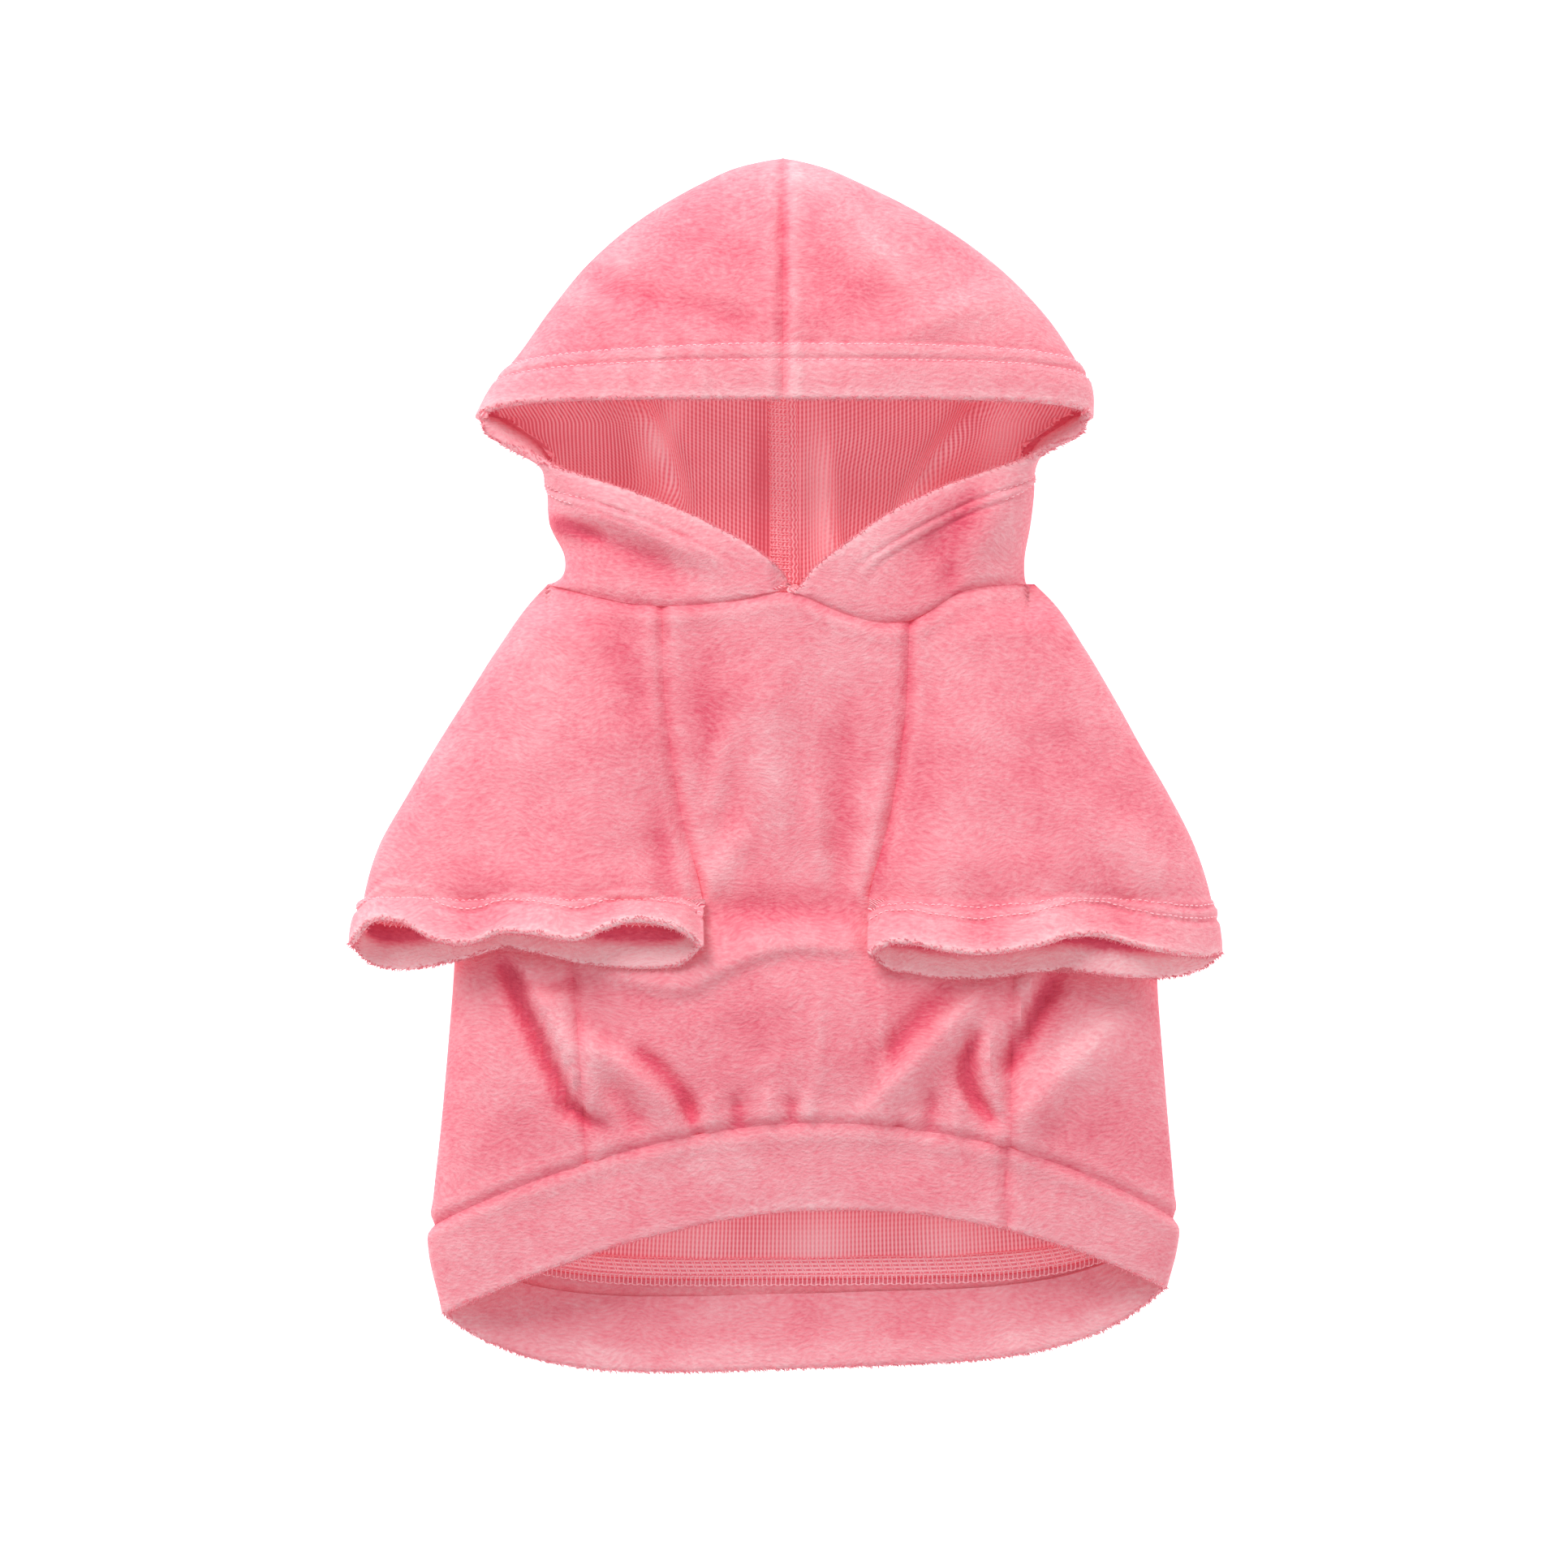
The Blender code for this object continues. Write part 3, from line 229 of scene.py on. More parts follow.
# Folds of each sheet, in millimetres: start, end, sideways bow in the middle, width, height, and how much
# steeper the fold is on the right of its run. A crease has a negative height.
foldColumns = ("x0", "y0", "x1", "y1", "bow", "wide", "high", "steep")
foldRows = {
    "body": tableOf(
        foldColumns,
        # pulled fold beside the left side seam, and the crease it overhangs
        (-84, -66, -62, -113, 0, 4.6, 5, 0.6),
        (-91, -66, -69, -112, 0, 2.6, -4, 0),
        (-71, -110, -59, -117, 0, 2.4, -3, 0),
        (-104, -72, -86, -112, 0, 7, 1.6, 0),
        (-88.7, -66.7, -69.7, -71.2, -3, 3, -2.4, 0),
        # ridge from the left side seam to the waistband
        (-68, -89, -35, -114.5, 3, 5, 3.6, -0.4),
        (-58, -101, -46, -117, 0, 4, -1.8, 0),
        (-47, -93, -30, -113, 2, 2.6, -2.2, 0),
        # bulge of the belly between the sleeves
        (-62.6, -64.6, -30.3, -71.2, -2, 5, 2.4, 0.3),
        (-30.3, -71.2, 2, -58, 2, 6, 2.7, 0.45),
        (2, -58, 24, -59, 0, 6, 2.4, 0.45),
        (-25, -47, 25, -49, 0, 6, -2, 0),
        # hollow of the belly and its faint upright folds
        (-10, -80, -6, -96, 0, 13, -1, 0),
        (10.8, -72, 10.8, -104, 0, 2, 0.8, 0),
        (31.3, -70, 31.3, -104, 0, 2, 0.9, 0),
        # gathers above the waistband
        (-31.6, -108, -30.5, -117, 0, 2.4, -1.7, 0),
        (-24, -107, -24, -117, 0, 2.2, 1.2, 0),
        (-15.5, -108, -15.5, -117, 0, 2.4, -1.7, 0),
        (-5.3, -106, -5.3, -116, 0, 2.4, 1.4, 0),
        (2, -108, 2, -116, 0, 2.2, -1.4, 0),
        (8, -106, 7.5, -116, 0, 2.4, 1.4, 0),
        (47, -106, 46, -119, 0, 2.6, -1.5, 0),
        (56, -107, 55, -121, 0, 2.6, 1.2, 0),
        # diagonal ridge left of the right side seam, dark above it
        (62, -74, 28, -111, 0, 5, 4.2, 0.45),
        (52, -72, 30, -96, 0, 3.6, -2.2, 0),
        (61, -88, 66, -114, -5, 2.8, -3.6, 0),
        (66.5, -84, 69, -112, -2, 2.4, 2.4, 0),
        # pulls right of the right side seam
        (80, -66, 74, -86, 0, 3.6, 3, -0.3),
        (88, -68, 71.5, -98, 0, 3, -4.2, 0),
        (105, -86, 72, -120, 0, 8, 4.5, 0.3),
        (96, -100, 84, -122, 0, 6, -1.8, 0),
        # soft upright folds of the chest
        (-8, 30, -2, -20, 0, 9, 2.7, 0),
        (-27, 38, -20, -25, 0, 6, -1.2, 0),
        (-18, 12, -24, -18, 0, 3.5, 1.5, 0),
        (19, 20, 18, -35, 0, 6, -1.5, 0),
        (9, -8, 12, -36, 0, 3.5, 1.7, 0),
        (30, -8, 27, -40, 0, 4, 1.8, 0),
        (-12, -22, -26, -40, 0, 5, 1.8, 0),
    ),
    "sleeve": tableOf(
        foldColumns,
        # sleeves: soft hollow beside the raglan, waves of the hems
        (-56, 43, -45, 15, 0, 7, -1.6, 0),
        (-34, -22, -30, -42, 0, 3.5, 1.8, 0),
        (-41, -20, -36, -44, 0, 4.5, -1, 0),
        (-96.5, -42, -97.5, -60, 0, 9, -2.2, 0),
        (-77, -42, -77, -60, 0, 9, 2.8, 0),
        (-57, -44, -57, -60, 0, 9, -2, 0),
        (62, -44, 63, -62, 0, 9, -2, 0),
        (85, -44, 85, -62, 0, 8, 2.8, 0),
        (107, -42, 108, -64, 0, 9, -2.8, 0),
        (84, 15, 116, -18, 0, 12, -1.3, 0),
        (108, -18, 122, -40, 0, 7, 1.5, 0),
        (30, -24, 32, -44, 0, 4, -1.5, 0),
    ),
    "hood": tableOf(
        foldColumns,
        # hood: soft hollows of the crown and of the neck
        (-66, 158, -38, 147, 0, 6, -1.5, 0),
        (-78, 160, -60, 146, 0, 5, 1.6, 0),
        (-36, 148, -10, 141, 0, 5, -1.2, 0),
        (11, 160, 42, 139, 0, 8, -1.2, 0),
        (32, 137, 74, 152, 0, 6, 1.8, 0),
        (26, 170, 44, 146, 0, 3, 1.2, 0.3),
        (-28, 136, -26, 118, 0, 2.2, 0.9, 0),
        (-40, 136, -42, 119, 0, 2.2, 0.8, 0),
        (-54, 135, -52, 119, 0, 2.2, 0.7, 0),
        (-76, 78, -60, 73, 0, 2.6, -4.2, 0),
        (-60, 73, -30, 59, 0, 5, -2.1, 0),
        (-72, 84, -24, 66, 0, 3.6, 1.8, -0.4),
        (-60, 86, -20, 62, 0, 5, 1.5, 0),
        (62, 88, 44, 66, 0, 6, -2.4, 0),
        (76, 84, 60, 60, 0, 6, 1.8, 0),
        (52, 64, 56, 50, 0, 4, -1.8, 0),
    ),
    "hoodBack": tableOf(
        foldColumns,
        # inside of the hood's back
        (-49.5, 118, -35, 82, 2, 5.5, 8.5, -0.35),
        (66, 118, 38, 78, -2, 5.5, 8.5, 0.35),
        (11, 104, 17, 60, -1.5, 4.5, 4.5, -0.3),
    ),
    "bodyBack": tableOf(
        foldColumns,
        # back of the body, seen through the waist
        (-30, -110, -26, -160, 0, 7, 2.2, 0),
        (8, -115, 12, -160, 0, 9, 2.8, 0),
        (52, -112, 48, -160, 0, 8, 2.5, 0),
    ),
}

# Patches where the pile is brushed, and patches of painted light and shade on hollows, rises and insides: the
# middle and the two half lengths of each patch in millimetres, its turn in degrees, and how much paler the pile
# is painted there
brushColumns = ("x", "y", "long", "wide", "turn", "shade")
brushAndShadeRows = {
    "hood": tableOf(
        brushColumns,
        # crown: the left half brushed dull, painted shade in a soft valley in it, the right half lighter
        (-38, 168, 36, 20, 38, -0.06),
        (-56, 151, 16, 5, -38, -0.06),
        (-17, 144, 12, 5, -20, -0.1),
        (-60, 158, 14, 6, 40, 0.1),
        (30, 172, 26, 12, -40, 0.1),
        (58, 148, 20, 8, -35, 0.08),
        (20, 148, 22, 6, 30, -0.08),
        (8, 190, 8, 6, 0, 0.14),
        # neck of the hood: painted shade in its hollows and painted light on its rises
        (-52, 76, 14, 5, -30, -0.12),
        (-60, 90, 12, 6, -35, 0.06),
        (-30, 58, 20, 5, -20, 0.1),
        (30, 66, 14, 10, 40, 0.2),
        (60, 80, 9, 14, 0, -0.12),
        (73, 72, 8, 12, 0, 0.1),
    ),
    "hoodBack": tableOf(
        brushColumns,
        # inside of the hood: painted shade beside the seam, painted light where a fold faces the light
        (-7.5, 86, 3.6, 32, 0, -0.6),
        (-40, 106, 4, 14, -25, 0.6),
        (-52, 96, 6, 16, 0, -0.26),
        (12, 84, 4, 26, 4, 0.55),
        (60, 108, 5, 16, -30, -0.3),
        (70, 104, 7, 12, -30, 0.5),
        (-88, 107, 12, 6, -20, -0.35),
        (88, 106, 12, 6, 20, -0.35),
    ),
    "bodyBack": tableOf(
        brushColumns,
        # inside of the back, seen through the waist: light falls in past the front hem
        (-35, -152, 16, 10, 0, 0.35),
        (8, -155, 14, 9, 0, 0.5),
        (55, -153, 14, 9, 0, 0.32),
        (30, -150, 10, 8, 0, 0.1),
    ),
    "body": tableOf(
        brushColumns,
        # chest and belly: painted shade under the throat, in the hollow between the sleeves and beside the
        # folds, painted light on rises
        (-22, 30, 17, 15, 0, -0.05),
        (20, 26, 16, 14, 0, 0.12),
        (-4, -8, 7, 22, 4, 0.14),
        (16, -20, 6, 24, -4, -0.06),
        (-22, -30, 8, 16, 10, 0.1),
        (0, -45, 26, 5, 0, -0.1),
        (-8, -88, 16, 13, 0, -0.03),
        (26, -92, 14, 12, 0, -0.05),
        (-48, -72, 16, 7, 0, -0.08),
        (-40, -96, 13, 6, -45, 0.1),
        (66, -74, 8, 12, 20, -0.08),
        (96, -88, 16, 8, 45, 0.26),
        (85, -78, 6, 13, -35, -0.1),
        (96, -118, 14, 10, 0, -0.04),
        (-104, -90, 8, 24, 0, 0.06),
        (-90, -118, 14, 10, 0, -0.1),
    ),
    "sleeve": tableOf(
        brushColumns,
        # sleeves
        (-80, 26, 22, 12, 50, 0.08),
        (-50, 28, 8, 22, 0, -0.06),
        (-38, -20, 6, 22, 8, -0.1),
        (-98, -16, 14, 18, 30, 0.06),
        (-70, -24, 16, 12, 0, -0.06),
        (52, 34, 16, 12, 0, 0.1),
        (96, 2, 18, 9, -50, -0.05),
        (64, -20, 16, 14, 0, 0.06),
        (108, -26, 12, 8, -40, 0.12),
        (42, -10, 7, 20, -8, -0.1),
    ),
    "band": tableOf(
        brushColumns,
        # waistband
        (-80, -146, 16, 7, 25, -0.03),
        (-20, -131, 22, 6, 5, 0.06),
        (40, -134, 14, 6, -8, -0.05),
        (92, -146, 18, 6, -20, 0.08),
    ),
}

# Painted light and shade on the pile: paler over ridges and lips, deeper in creases, seams and insides
paintedLight = {
    "ridge": 0.20,  # painted highlight over folds
    "crease": 0.46,  # painted shade in creases
    "seam": 0.16,  # painted shade, deeper for each millimetre that a seam sinks
    "full": 3.0,  # mm of height or depth that come near to the full shade
    "lip": 0.14,  # painted highlight on the roll of a hem
    "lipWide": 2.6 * mm,
    "leaf": -0.30,  # painted shade on the inside
    "leafFaces": (10, 14),  # the faces of a turned hem over which that comes
    "allowance": 0.12,  # painted light: the raw edges stand up to the light
}


def readAt(source, name, at):
    # a smooth curve through one column, against the first
    knots, values = source[next(iter(source))], source[name]
    slopes = np.gradient(values, knots)
    at = np.clip(at, knots[0], knots[-1])
    i = np.clip(np.searchsorted(knots, at) - 1, 0, len(knots) - 2)
    run = knots[i + 1] - knots[i]
    t = (at - knots[i]) / run
    start = values[i] * (1 + 2 * t) * (1 - t) ** 2 + slopes[i] * run * t * (1 - t) ** 2
    end = values[i + 1] * t**2 * (3 - 2 * t) + slopes[i + 1] * run * t**2 * (t - 1)
    return start + end


def mix(a, b, share):
    return a + (b - a) * share


def smoothStep(low, high, at):
    t = np.clip((at - low) / (high - low), 0, 1)
    return t * t * (3 - 2 * t)


def crowned(share, power):
    # height of a round-shouldered section: 1 in its middle and 0 at its side folds
    return np.sqrt(np.clip(1 - np.abs(share) ** power, 0, 1))


def bell(away, wide):
    return np.exp(-((away / wide) ** 2))


def softNoise(x, y, size, seed):
    # smooth noise from -1 to 1, with bumps of the given size
    u = np.asarray(x, float) / size + 37.2 + seed * 11.7
    v = np.asarray(y, float) / size + 19.6 - seed * 7.3
    i, j = np.floor(u).astype(int), np.floor(v).astype(int)
    s, t = u - i, v - j
    s, t = s * s * (3 - 2 * s), t * t * (3 - 2 * t)
    lattice = np.random.default_rng(100 + seed).uniform(-1, 1, (64, 64))

    def at(a, b):
        return lattice[a % 64, b % 64]

    return mix(mix(at(i, j), at(i + 1, j), s), mix(at(i, j + 1), at(i + 1, j + 1), s), t)


def foldRelief(sheet, x, y, narrow=0.0):
    # narrow weighs sharp folds over broad ones, for the painted shade of the pile
    total = np.zeros(np.broadcast(x, y).shape)
    for x0, y0, x1, y1, bow, wide, high, steep in rowsOf(foldRows.get(sheet, {})):
        startX, startY, runX, runY = x0 * mm, y0 * mm, (x1 - x0) * mm, (y1 - y0) * mm
        length = math.hypot(runX, runY)
        along = ((x - startX) * runX + (y - startY) * runY) / length
        right = ((x - startX) * runY - (y - startY) * runX) / length
        t = np.clip(along / length, 0, 1)
        right = right + bow * mm * 4 * t * (1 - t)
        past = np.abs(along - t * length)
        width = wide * mm * (1 - steep * np.tanh(right / (foldShape["turn"] * wide * mm)))
        low, full = foldShape["fadeFrom"], foldShape["fadeTo"]
        fade = smoothStep(low, full, along / length) * smoothStep(low, full, 1 - along / length)
        high *= (foldShape["plainWide"] / wide) ** narrow
        profile = high * mm * bell(right, width) * bell(past, foldShape["past"] * wide * mm)
        total += profile * mix(foldShape["endHigh"], 1, fade)
    return total


# the soft unevenness of cloth that has been handled
handled = {"broadSize": 26 * mm, "broadHigh": 0.55, "smallSize": 9 * mm, "smallHigh": 0.22}


def rumple(x, y, seed):
    broad = handled["broadHigh"] * softNoise(x, y, handled["broadSize"], seed)
    small = handled["smallHigh"] * softNoise(x, y, handled["smallSize"], seed + 1)
    return (broad + small) * mm


# Surfaces of the garment


def neckFrontY(x):
    return neckY - garment["neckDip"] * readAt(neckSeam, "dip", np.clip(x / garment["neckHalfWidth"], -1, 1))


def neckBackY(x):
    across = np.clip(x / garment["neckHalfWidth"], -1, 1)
    return neckY + 0.15 * garment["neckDip"] * (1 - across**2)


def torsoWidth(row):
    # middle and half width of the laid body
    half = readAt(torsoRows, "neck", row) * garment["neckHalfWidth"]
    half = half + readAt(torsoRows, "body", row) * garment["bodyHalfWidth"]
    return readAt(torsoRows, "shift", row) * garment["bodyShift"], half


def torsoY(row, share, x, front):
    neck = neckFrontY(x) if front else neckBackY(x)
    upper = mix(neck, underarmY, np.clip(row, 0, 1))
    seamMiddle = garment["bandSeamFront"] if front else garment["bandSeamBack"]
    hemMiddle = garment["hemFront"] if front else garment["bodyLength"]
    down = np.clip(row - 1, 0, 1)
    intoBand = np.clip(row - 2, 0, 1)
    bandSide = garment["hemSide"] - garment["bandSeamSide"]
    side = mix(garment["underarmDrop"], garment["bandSeamSide"], down) + bandSide * intoBand
    middle = mix(garment["underarmDrop"], seamMiddle, down) + (hemMiddle - seamMiddle) * intoBand
    power = np.where(share < 0, 1.75, 2.15) if front else np.where(share < 0, 4.2, 4.7)
    tilt = garment["hemTilt"] * share * np.clip((row - 1) / 2, 0, 1) ** 2
    bowed = neckY - mix(side, middle, 1 - np.abs(share) ** power) + tilt
    return np.where(row <= 1, upper, bowed)


def torso(row, share, front):
    # a point of the body's outside; share is -1 at the left side fold and 1 at the right one
    row, share = np.broadcast_arrays(np.asarray(row, float), np.asarray(share, float))
    middle, half = torsoWidth(row)
    x = middle + half * share
    y = torsoY(row, share, x, front)
    fold = readAt(torsoRows, "fold", row) * garment["sideFoldRise"]
    if front:
        rise = readAt(torsoRows, "rise", row) * garment["bodyRise"]
        roundSide = crowned(share, 2.5)
        z = fold + (rise - fold) * roundSide
        z = z + (foldRelief("body", x, y) + rumple(x, y, 3)) * smoothStep(0, 0.6, roundSide)
    else:
        z = fold * (1 - crowned(share, 8))
        z = z + foldRelief("bodyBack", x, y) * smoothStep(0, 0.5, crowned(share, 8)) * smoothStep(3, 2.1, row)
    return np.stack([x, y, z], -1)


def raglanShare(row, side):
    middle, half = torsoWidth(row)
    narrowing = readAt(seamRows, "narrowing", row)
    return (side * mix(garment["chestHalfWidth"], garment["chestHalfLow"], narrowing) - middle) / half


def onBody(x, y):
    # height of the belly side at a place, and beside the body that of the surface it slopes down to
    drop = neckY - y
    row = np.clip(drop / garment["underarmDrop"], 0, 1.6)
    below = 1 + (drop - garment["underarmDrop"]) / (garment["bandSeamSide"] - garment["underarmDrop"])
    row = np.where(row > 1, below, row)
    middle, half = torsoWidth(row)
    share = np.abs((x - middle) / half)
    fold = readAt(torsoRows, "fold", row) * garment["sideFoldRise"]
    rise = readAt(torsoRows, "rise", row) * garment["bodyRise"]
    roundSide = crowned(share, 2.5)
    height = fold + (rise - fold) * roundSide
    height = height + foldRelief("body", x, y) * smoothStep(0, 0.6, roundSide)
    beside = rise * (1 - smoothStep(0.78, 1.28, share))
    return np.maximum(np.where(share < 1, height, 0), beside)


def sleeveOutX(row, side):
    neck = side * garment["neckHalfWidth"] + torsoWidth(0.0)[0]
    return mix(neck, side * sleeveReach, readAt(sleeveEdge, "left" if side < 0 else "right", row))


def sleeveTop(row, across, side):
    # upper leaf of a sleeve: row 1 is the underarm and 2 the hem; across is 0 at the chest and 1 outside
    row, across = np.broadcast_arrays(np.asarray(row, float), np.asarray(across, float))
    above = np.clip(row, 0, 1)
    seam = torso(above, raglanShare(above, side), True)
    past = np.clip(row - 1, 0, 1)
    x = mix(seam[..., 0], sleeveOutX(row, side), across)
    upper = mix(neckFrontY(x), underarmY, above)
    lip = readAt(sleeveLips, "leftTop" if side < 0 else "rightTop", across)
    lip = garment["sleeveHem"] + garment["sleeveLip"] * lip
    y = np.where(row <= 1, upper, neckY - mix(garment["underarmDrop"], lip, past))
    innerZ = seam[..., 2] + past * garment["sleeveMouth"] / 2 + smoothStep(0.8, 1.0, row) * garment["layerGap"]
    outerZ = mix(garment["sideFoldRise"], 0.6 * garment["sideFoldRise"], smoothStep(0.4, 1.6, row))
    steep = 0.5 + 0.5 * (1 - smoothStep(0.95, 1.25, row))
    shoulder = (1 - (1 - np.clip((across - 0.02) / 0.33, 0, 1)) ** 2) ** steep
    puff = garment["sleevePuff"] * (smoothStep(0.0, 1.0, row) - 0.2 * past)
    z = outerZ + (innerZ + puff * shoulder - outerZ) * crowned(across, 2.3)
    middle, half = torsoWidth(0.0)
    atNeck = torso(0.0, np.clip((x - middle) / half, -1, 1), True)[..., 2]
    z = mix(atNeck, z, smoothStep(0, 0.16, row))
    fade = smoothStep(0, 0.12, across) * smoothStep(0, 0.12, 1 - across)
    z = z + (foldRelief("sleeve", x, y) + 0.8 * rumple(x, y, 8 + side)) * fade
    return np.stack([x, y, z], -1)


def sleeveUnder(row, across, side):
    # lower leaf past the underarm, on the belly side and on the surface beside it
    row, across = np.broadcast_arrays(np.asarray(row, float), np.asarray(across, float))
    top = sleeveTop(row, across, side)
    past = np.clip(row - 1, 0, 1)
    x = top[..., 0]
    lip = readAt(sleeveLips, "leftUnder" if side < 0 else "rightUnder", across)
    lip = garment["sleeveHem"] + garment["sleeveLip"] * lip
    y = neckY - mix(garment["underarmDrop"], lip, past)
    inner = sleeveTop(row, 0.0 * across, side)[..., 2]
    outer = sleeveTop(row, 0.0 * across + 1, side)[..., 2]
    low = onBody(x, y) + garment["layerGap"]
    innerRound = crowned(1 - np.clip(across / 0.14, 0, 1), 2)
    outerRound = crowned(np.clip((across - 0.86) / 0.14, 0, 1), 2)
    z = mix(inner, low, mix(1, innerRound, smoothStep(0, 0.5, past)))
    z = mix(outer, z, outerRound)
    return np.stack([x, y, z], -1)


def sleeveBack(row, across, side):
    # lower leaf above the underarm, from the back raglan seam (0) to the outer fold (1)
    row, across = np.broadcast_arrays(np.asarray(row, float), np.asarray(across, float))
    seam = torso(row, side * readAt(seamRows, "backRaglan", row), False)
    x = mix(seam[..., 0], sleeveOutX(row, side), across)
    y = mix(neckBackY(x), underarmY, row)
    outer = sleeveTop(row, 0.0 * across + 1, side)[..., 2]
    low = mix(seam[..., 2], 0, smoothStep(0, 0.8, across))
    low = np.maximum(low, (onBody(x, y) + garment["layerGap"]) * smoothStep(0.80, 1.0, row))
    low = mix(seam[..., 2], low, smoothStep(0.0, 0.25, across))
    z = mix(outer, low, crowned(np.clip((across - 0.4) / 0.6, 0, 1), 3))
    return np.stack([x, y, z], -1)


def hoodSideX(row, side):
    out = readAt(crownRows, "left" if side < 0 else "right", row)
    return garment["hoodSeamX"] + side * out * garment["hoodHalfWidth"]


def crown(row, share, side, front):
    # a point of the hood above the face opening; share is 0 at the centre seam and 1 at the side fold
    row, share = np.broadcast_arrays(np.asarray(row, float), np.asarray(share, float))
    x = mix(garment["hoodSeamX"], hoodSideX(row, side), share)
    y = neckY + readAt(crownRows, "up", row) * garment["hoodLength"]
    fold = readAt(crownRows, "fold", row) * garment["sideFoldRise"]
    if front:
        y = y + (faceLipUp - faceCornerUp) * row**3 * crowned(share, 6)
        rise = readAt(crownRows, "rise", row) * garment["hoodRise"]
        roundSide = crowned(share, 2.2)
        z = fold + (rise - fold) * roundSide
        z = z + (foldRelief("hood", x, y) + rumple(x, y, 14)) * smoothStep(0, 0.5, roundSide)
    else:
        rumpled = smoothStep(0.08, 0.2, share) * smoothStep(0, 0.1, 1 - share)
        z = fold * (1 - crowned(share, 6)) + foldRelief("hoodBack", x, y) * rumpled
    return np.stack([x, y, z], -1)


def neckFold(row, side):
    # side fold of the hood's neck, from the corner of the face opening to the neck seam
    neckX = torsoWidth(0.0)[0] + side * garment["neckHalfWidth"]
    x = mix(hoodSideX(1.0, side), neckX, readAt(neckRows, "inLeft" if side < 0 else "inRight", row))
    y = neckY + faceCornerUp * (1 - readAt(neckRows, "down", row))
    z = mix(garment["cornerRise"], garment["sideFoldRise"], smoothStep(0, 0.5, row))
    return np.stack([x, y, z], -1)


def neckFlap(row, share, side):
    # front of the hood below the face opening; share is 0 at the side fold and 1 at the lip
    row, share = np.broadcast_arrays(np.asarray(row, float), np.asarray(share, float))
    name = "left" if side < 0 else "right"
    fold = neckFold(row, side)
    lipX = garment["hoodSeamX"] + side * readAt(neckRows, name + "X", row) * garment["hoodHalfWidth"]
    lipY = neckY + readAt(neckRows, name + "Up", row) * faceCornerUp
    lipZ = readAt(neckRows, "lipRise", row) * torsoRows["rise"][0] * garment["bodyRise"]
    x = mix(fold[..., 0], lipX, share)
    y = mix(fold[..., 1], lipY, share)
    y = mix(y, neckFrontY(x), smoothStep(mix(0.8, 0.93, share), 1.0, row))
    z = fold[..., 2] + (lipZ - fold[..., 2]) * crowned(1 - share, 2.5)
    middle, half = torsoWidth(0.0)
    atSeam = torso(0.0, np.clip((x - middle) / half, -1, 1), True)[..., 2]
    z = mix(z, atSeam, smoothStep(0.75, 1.0, row))
    relief = foldRelief("hood", x, y) + rumple(x, y, 17)
    z = z + relief * smoothStep(0, 0.4, share) * smoothStep(0, 0.12, 1 - row)
    if side < 0:
        under = smoothStep(-5 * mm, 1.5 * mm, x) * smoothStep(0.6, 0.85, row)
        z = z - garment["overlapDip"] * under
    return np.stack([x, y, z], -1)


def neckBack(row, share, side):
    # back of the hood below the face opening; share is 0 at the centre seam and 1 at the side fold
    row, share = np.broadcast_arrays(np.asarray(row, float), np.asarray(share, float))
    fold = neckFold(row, side)
    x = mix(garment["hoodSeamX"], fold[..., 0], share)
    y = mix(fold[..., 1], neckBackY(x), row**6)
    rumpled = smoothStep(0.08, 0.2, share) * smoothStep(0, 0.1, 1 - share) * smoothStep(0, 0.2, 1 - row)
    z = fold[..., 2] * (1 - crowned(share, mix(6, 8, row))) + foldRelief("hoodBack", x, y) * rumpled
    return np.stack([x, y, z], -1)


# From surfaces to cloth


def spread(first, last, faces):
    steps = np.linspace(0, 1, faces + 1)
    return np.asarray(first)[..., None] * (1 - steps) + np.asarray(last)[..., None] * steps


def roundedSpread(first, last, faces):
    # shares of a half section that crowd towards a side fold at -1 or 1
    angles = spread(np.arccos(np.clip(first, -1, 1)), np.arccos(np.clip(last, -1, 1)), faces)
    return np.cos(angles)


def lengthsAlong(points, axis):
    steps = np.linalg.norm(np.diff(points, axis=axis), axis=-1)
    total = np.cumsum(steps, axis=axis)
    return np.insert(total, 0, 0, axis=axis)


def normalsOf(points, inside, around=False):
    along = np.gradient(points, axis=0)
    across = np.gradient(points, axis=1)
    if around:
        across[:, 0] = across[:, -1] = (points[:, 1] - points[:, -2]) / 2
    normals = np.cross(across, along)
    normals /= np.maximum(np.linalg.norm(normals, axis=-1, keepdims=True), 1e-12)
    facing = np.sum(normals * (points - np.array(inside)))
    return normals if facing > 0 else -normals


def alongLines(lines, values, distances):
    # values read at distances along each line of points, counted from its start
    lengths = lengthsAlong(lines, 1)
    result = np.empty(lines.shape[:1] + (len(distances), values.shape[-1]))
    for i in range(len(lines)):
        for k in range(values.shape[-1]):
            result[i, :, k] = np.interp(distances, lengths[i], values[i, :, k])
    return result


def betweenCells(values, row, column):
    i, j = np.floor(row).astype(int), np.floor(column).astype(int)
    s, t = (row - i)[:, None], (column - j)[:, None]
    right = np.minimum(j + 1, values.shape[1] - 1)
    low = np.minimum(i + 1, values.shape[0] - 1)
    return mix(mix(values[i, j], values[i, right], t), mix(values[low, j], values[low, right], t), s)


def drawBack(lines, distance):
    # draws the starts of lines back by a distance, and spaces the points near them again
    over = cloth["drawnBack"]
    lengths = lengthsAlong(lines, 1)
    result = lines.copy()
    for i in range(len(lines)):
        wanted = np.where(lengths[i] < over, distance + lengths[i] * (1 - distance / over), lengths[i])
        for k in range(3):
            result[i, :, k] = np.interp(wanted, lengths[i], lines[i, :, k])
    return result


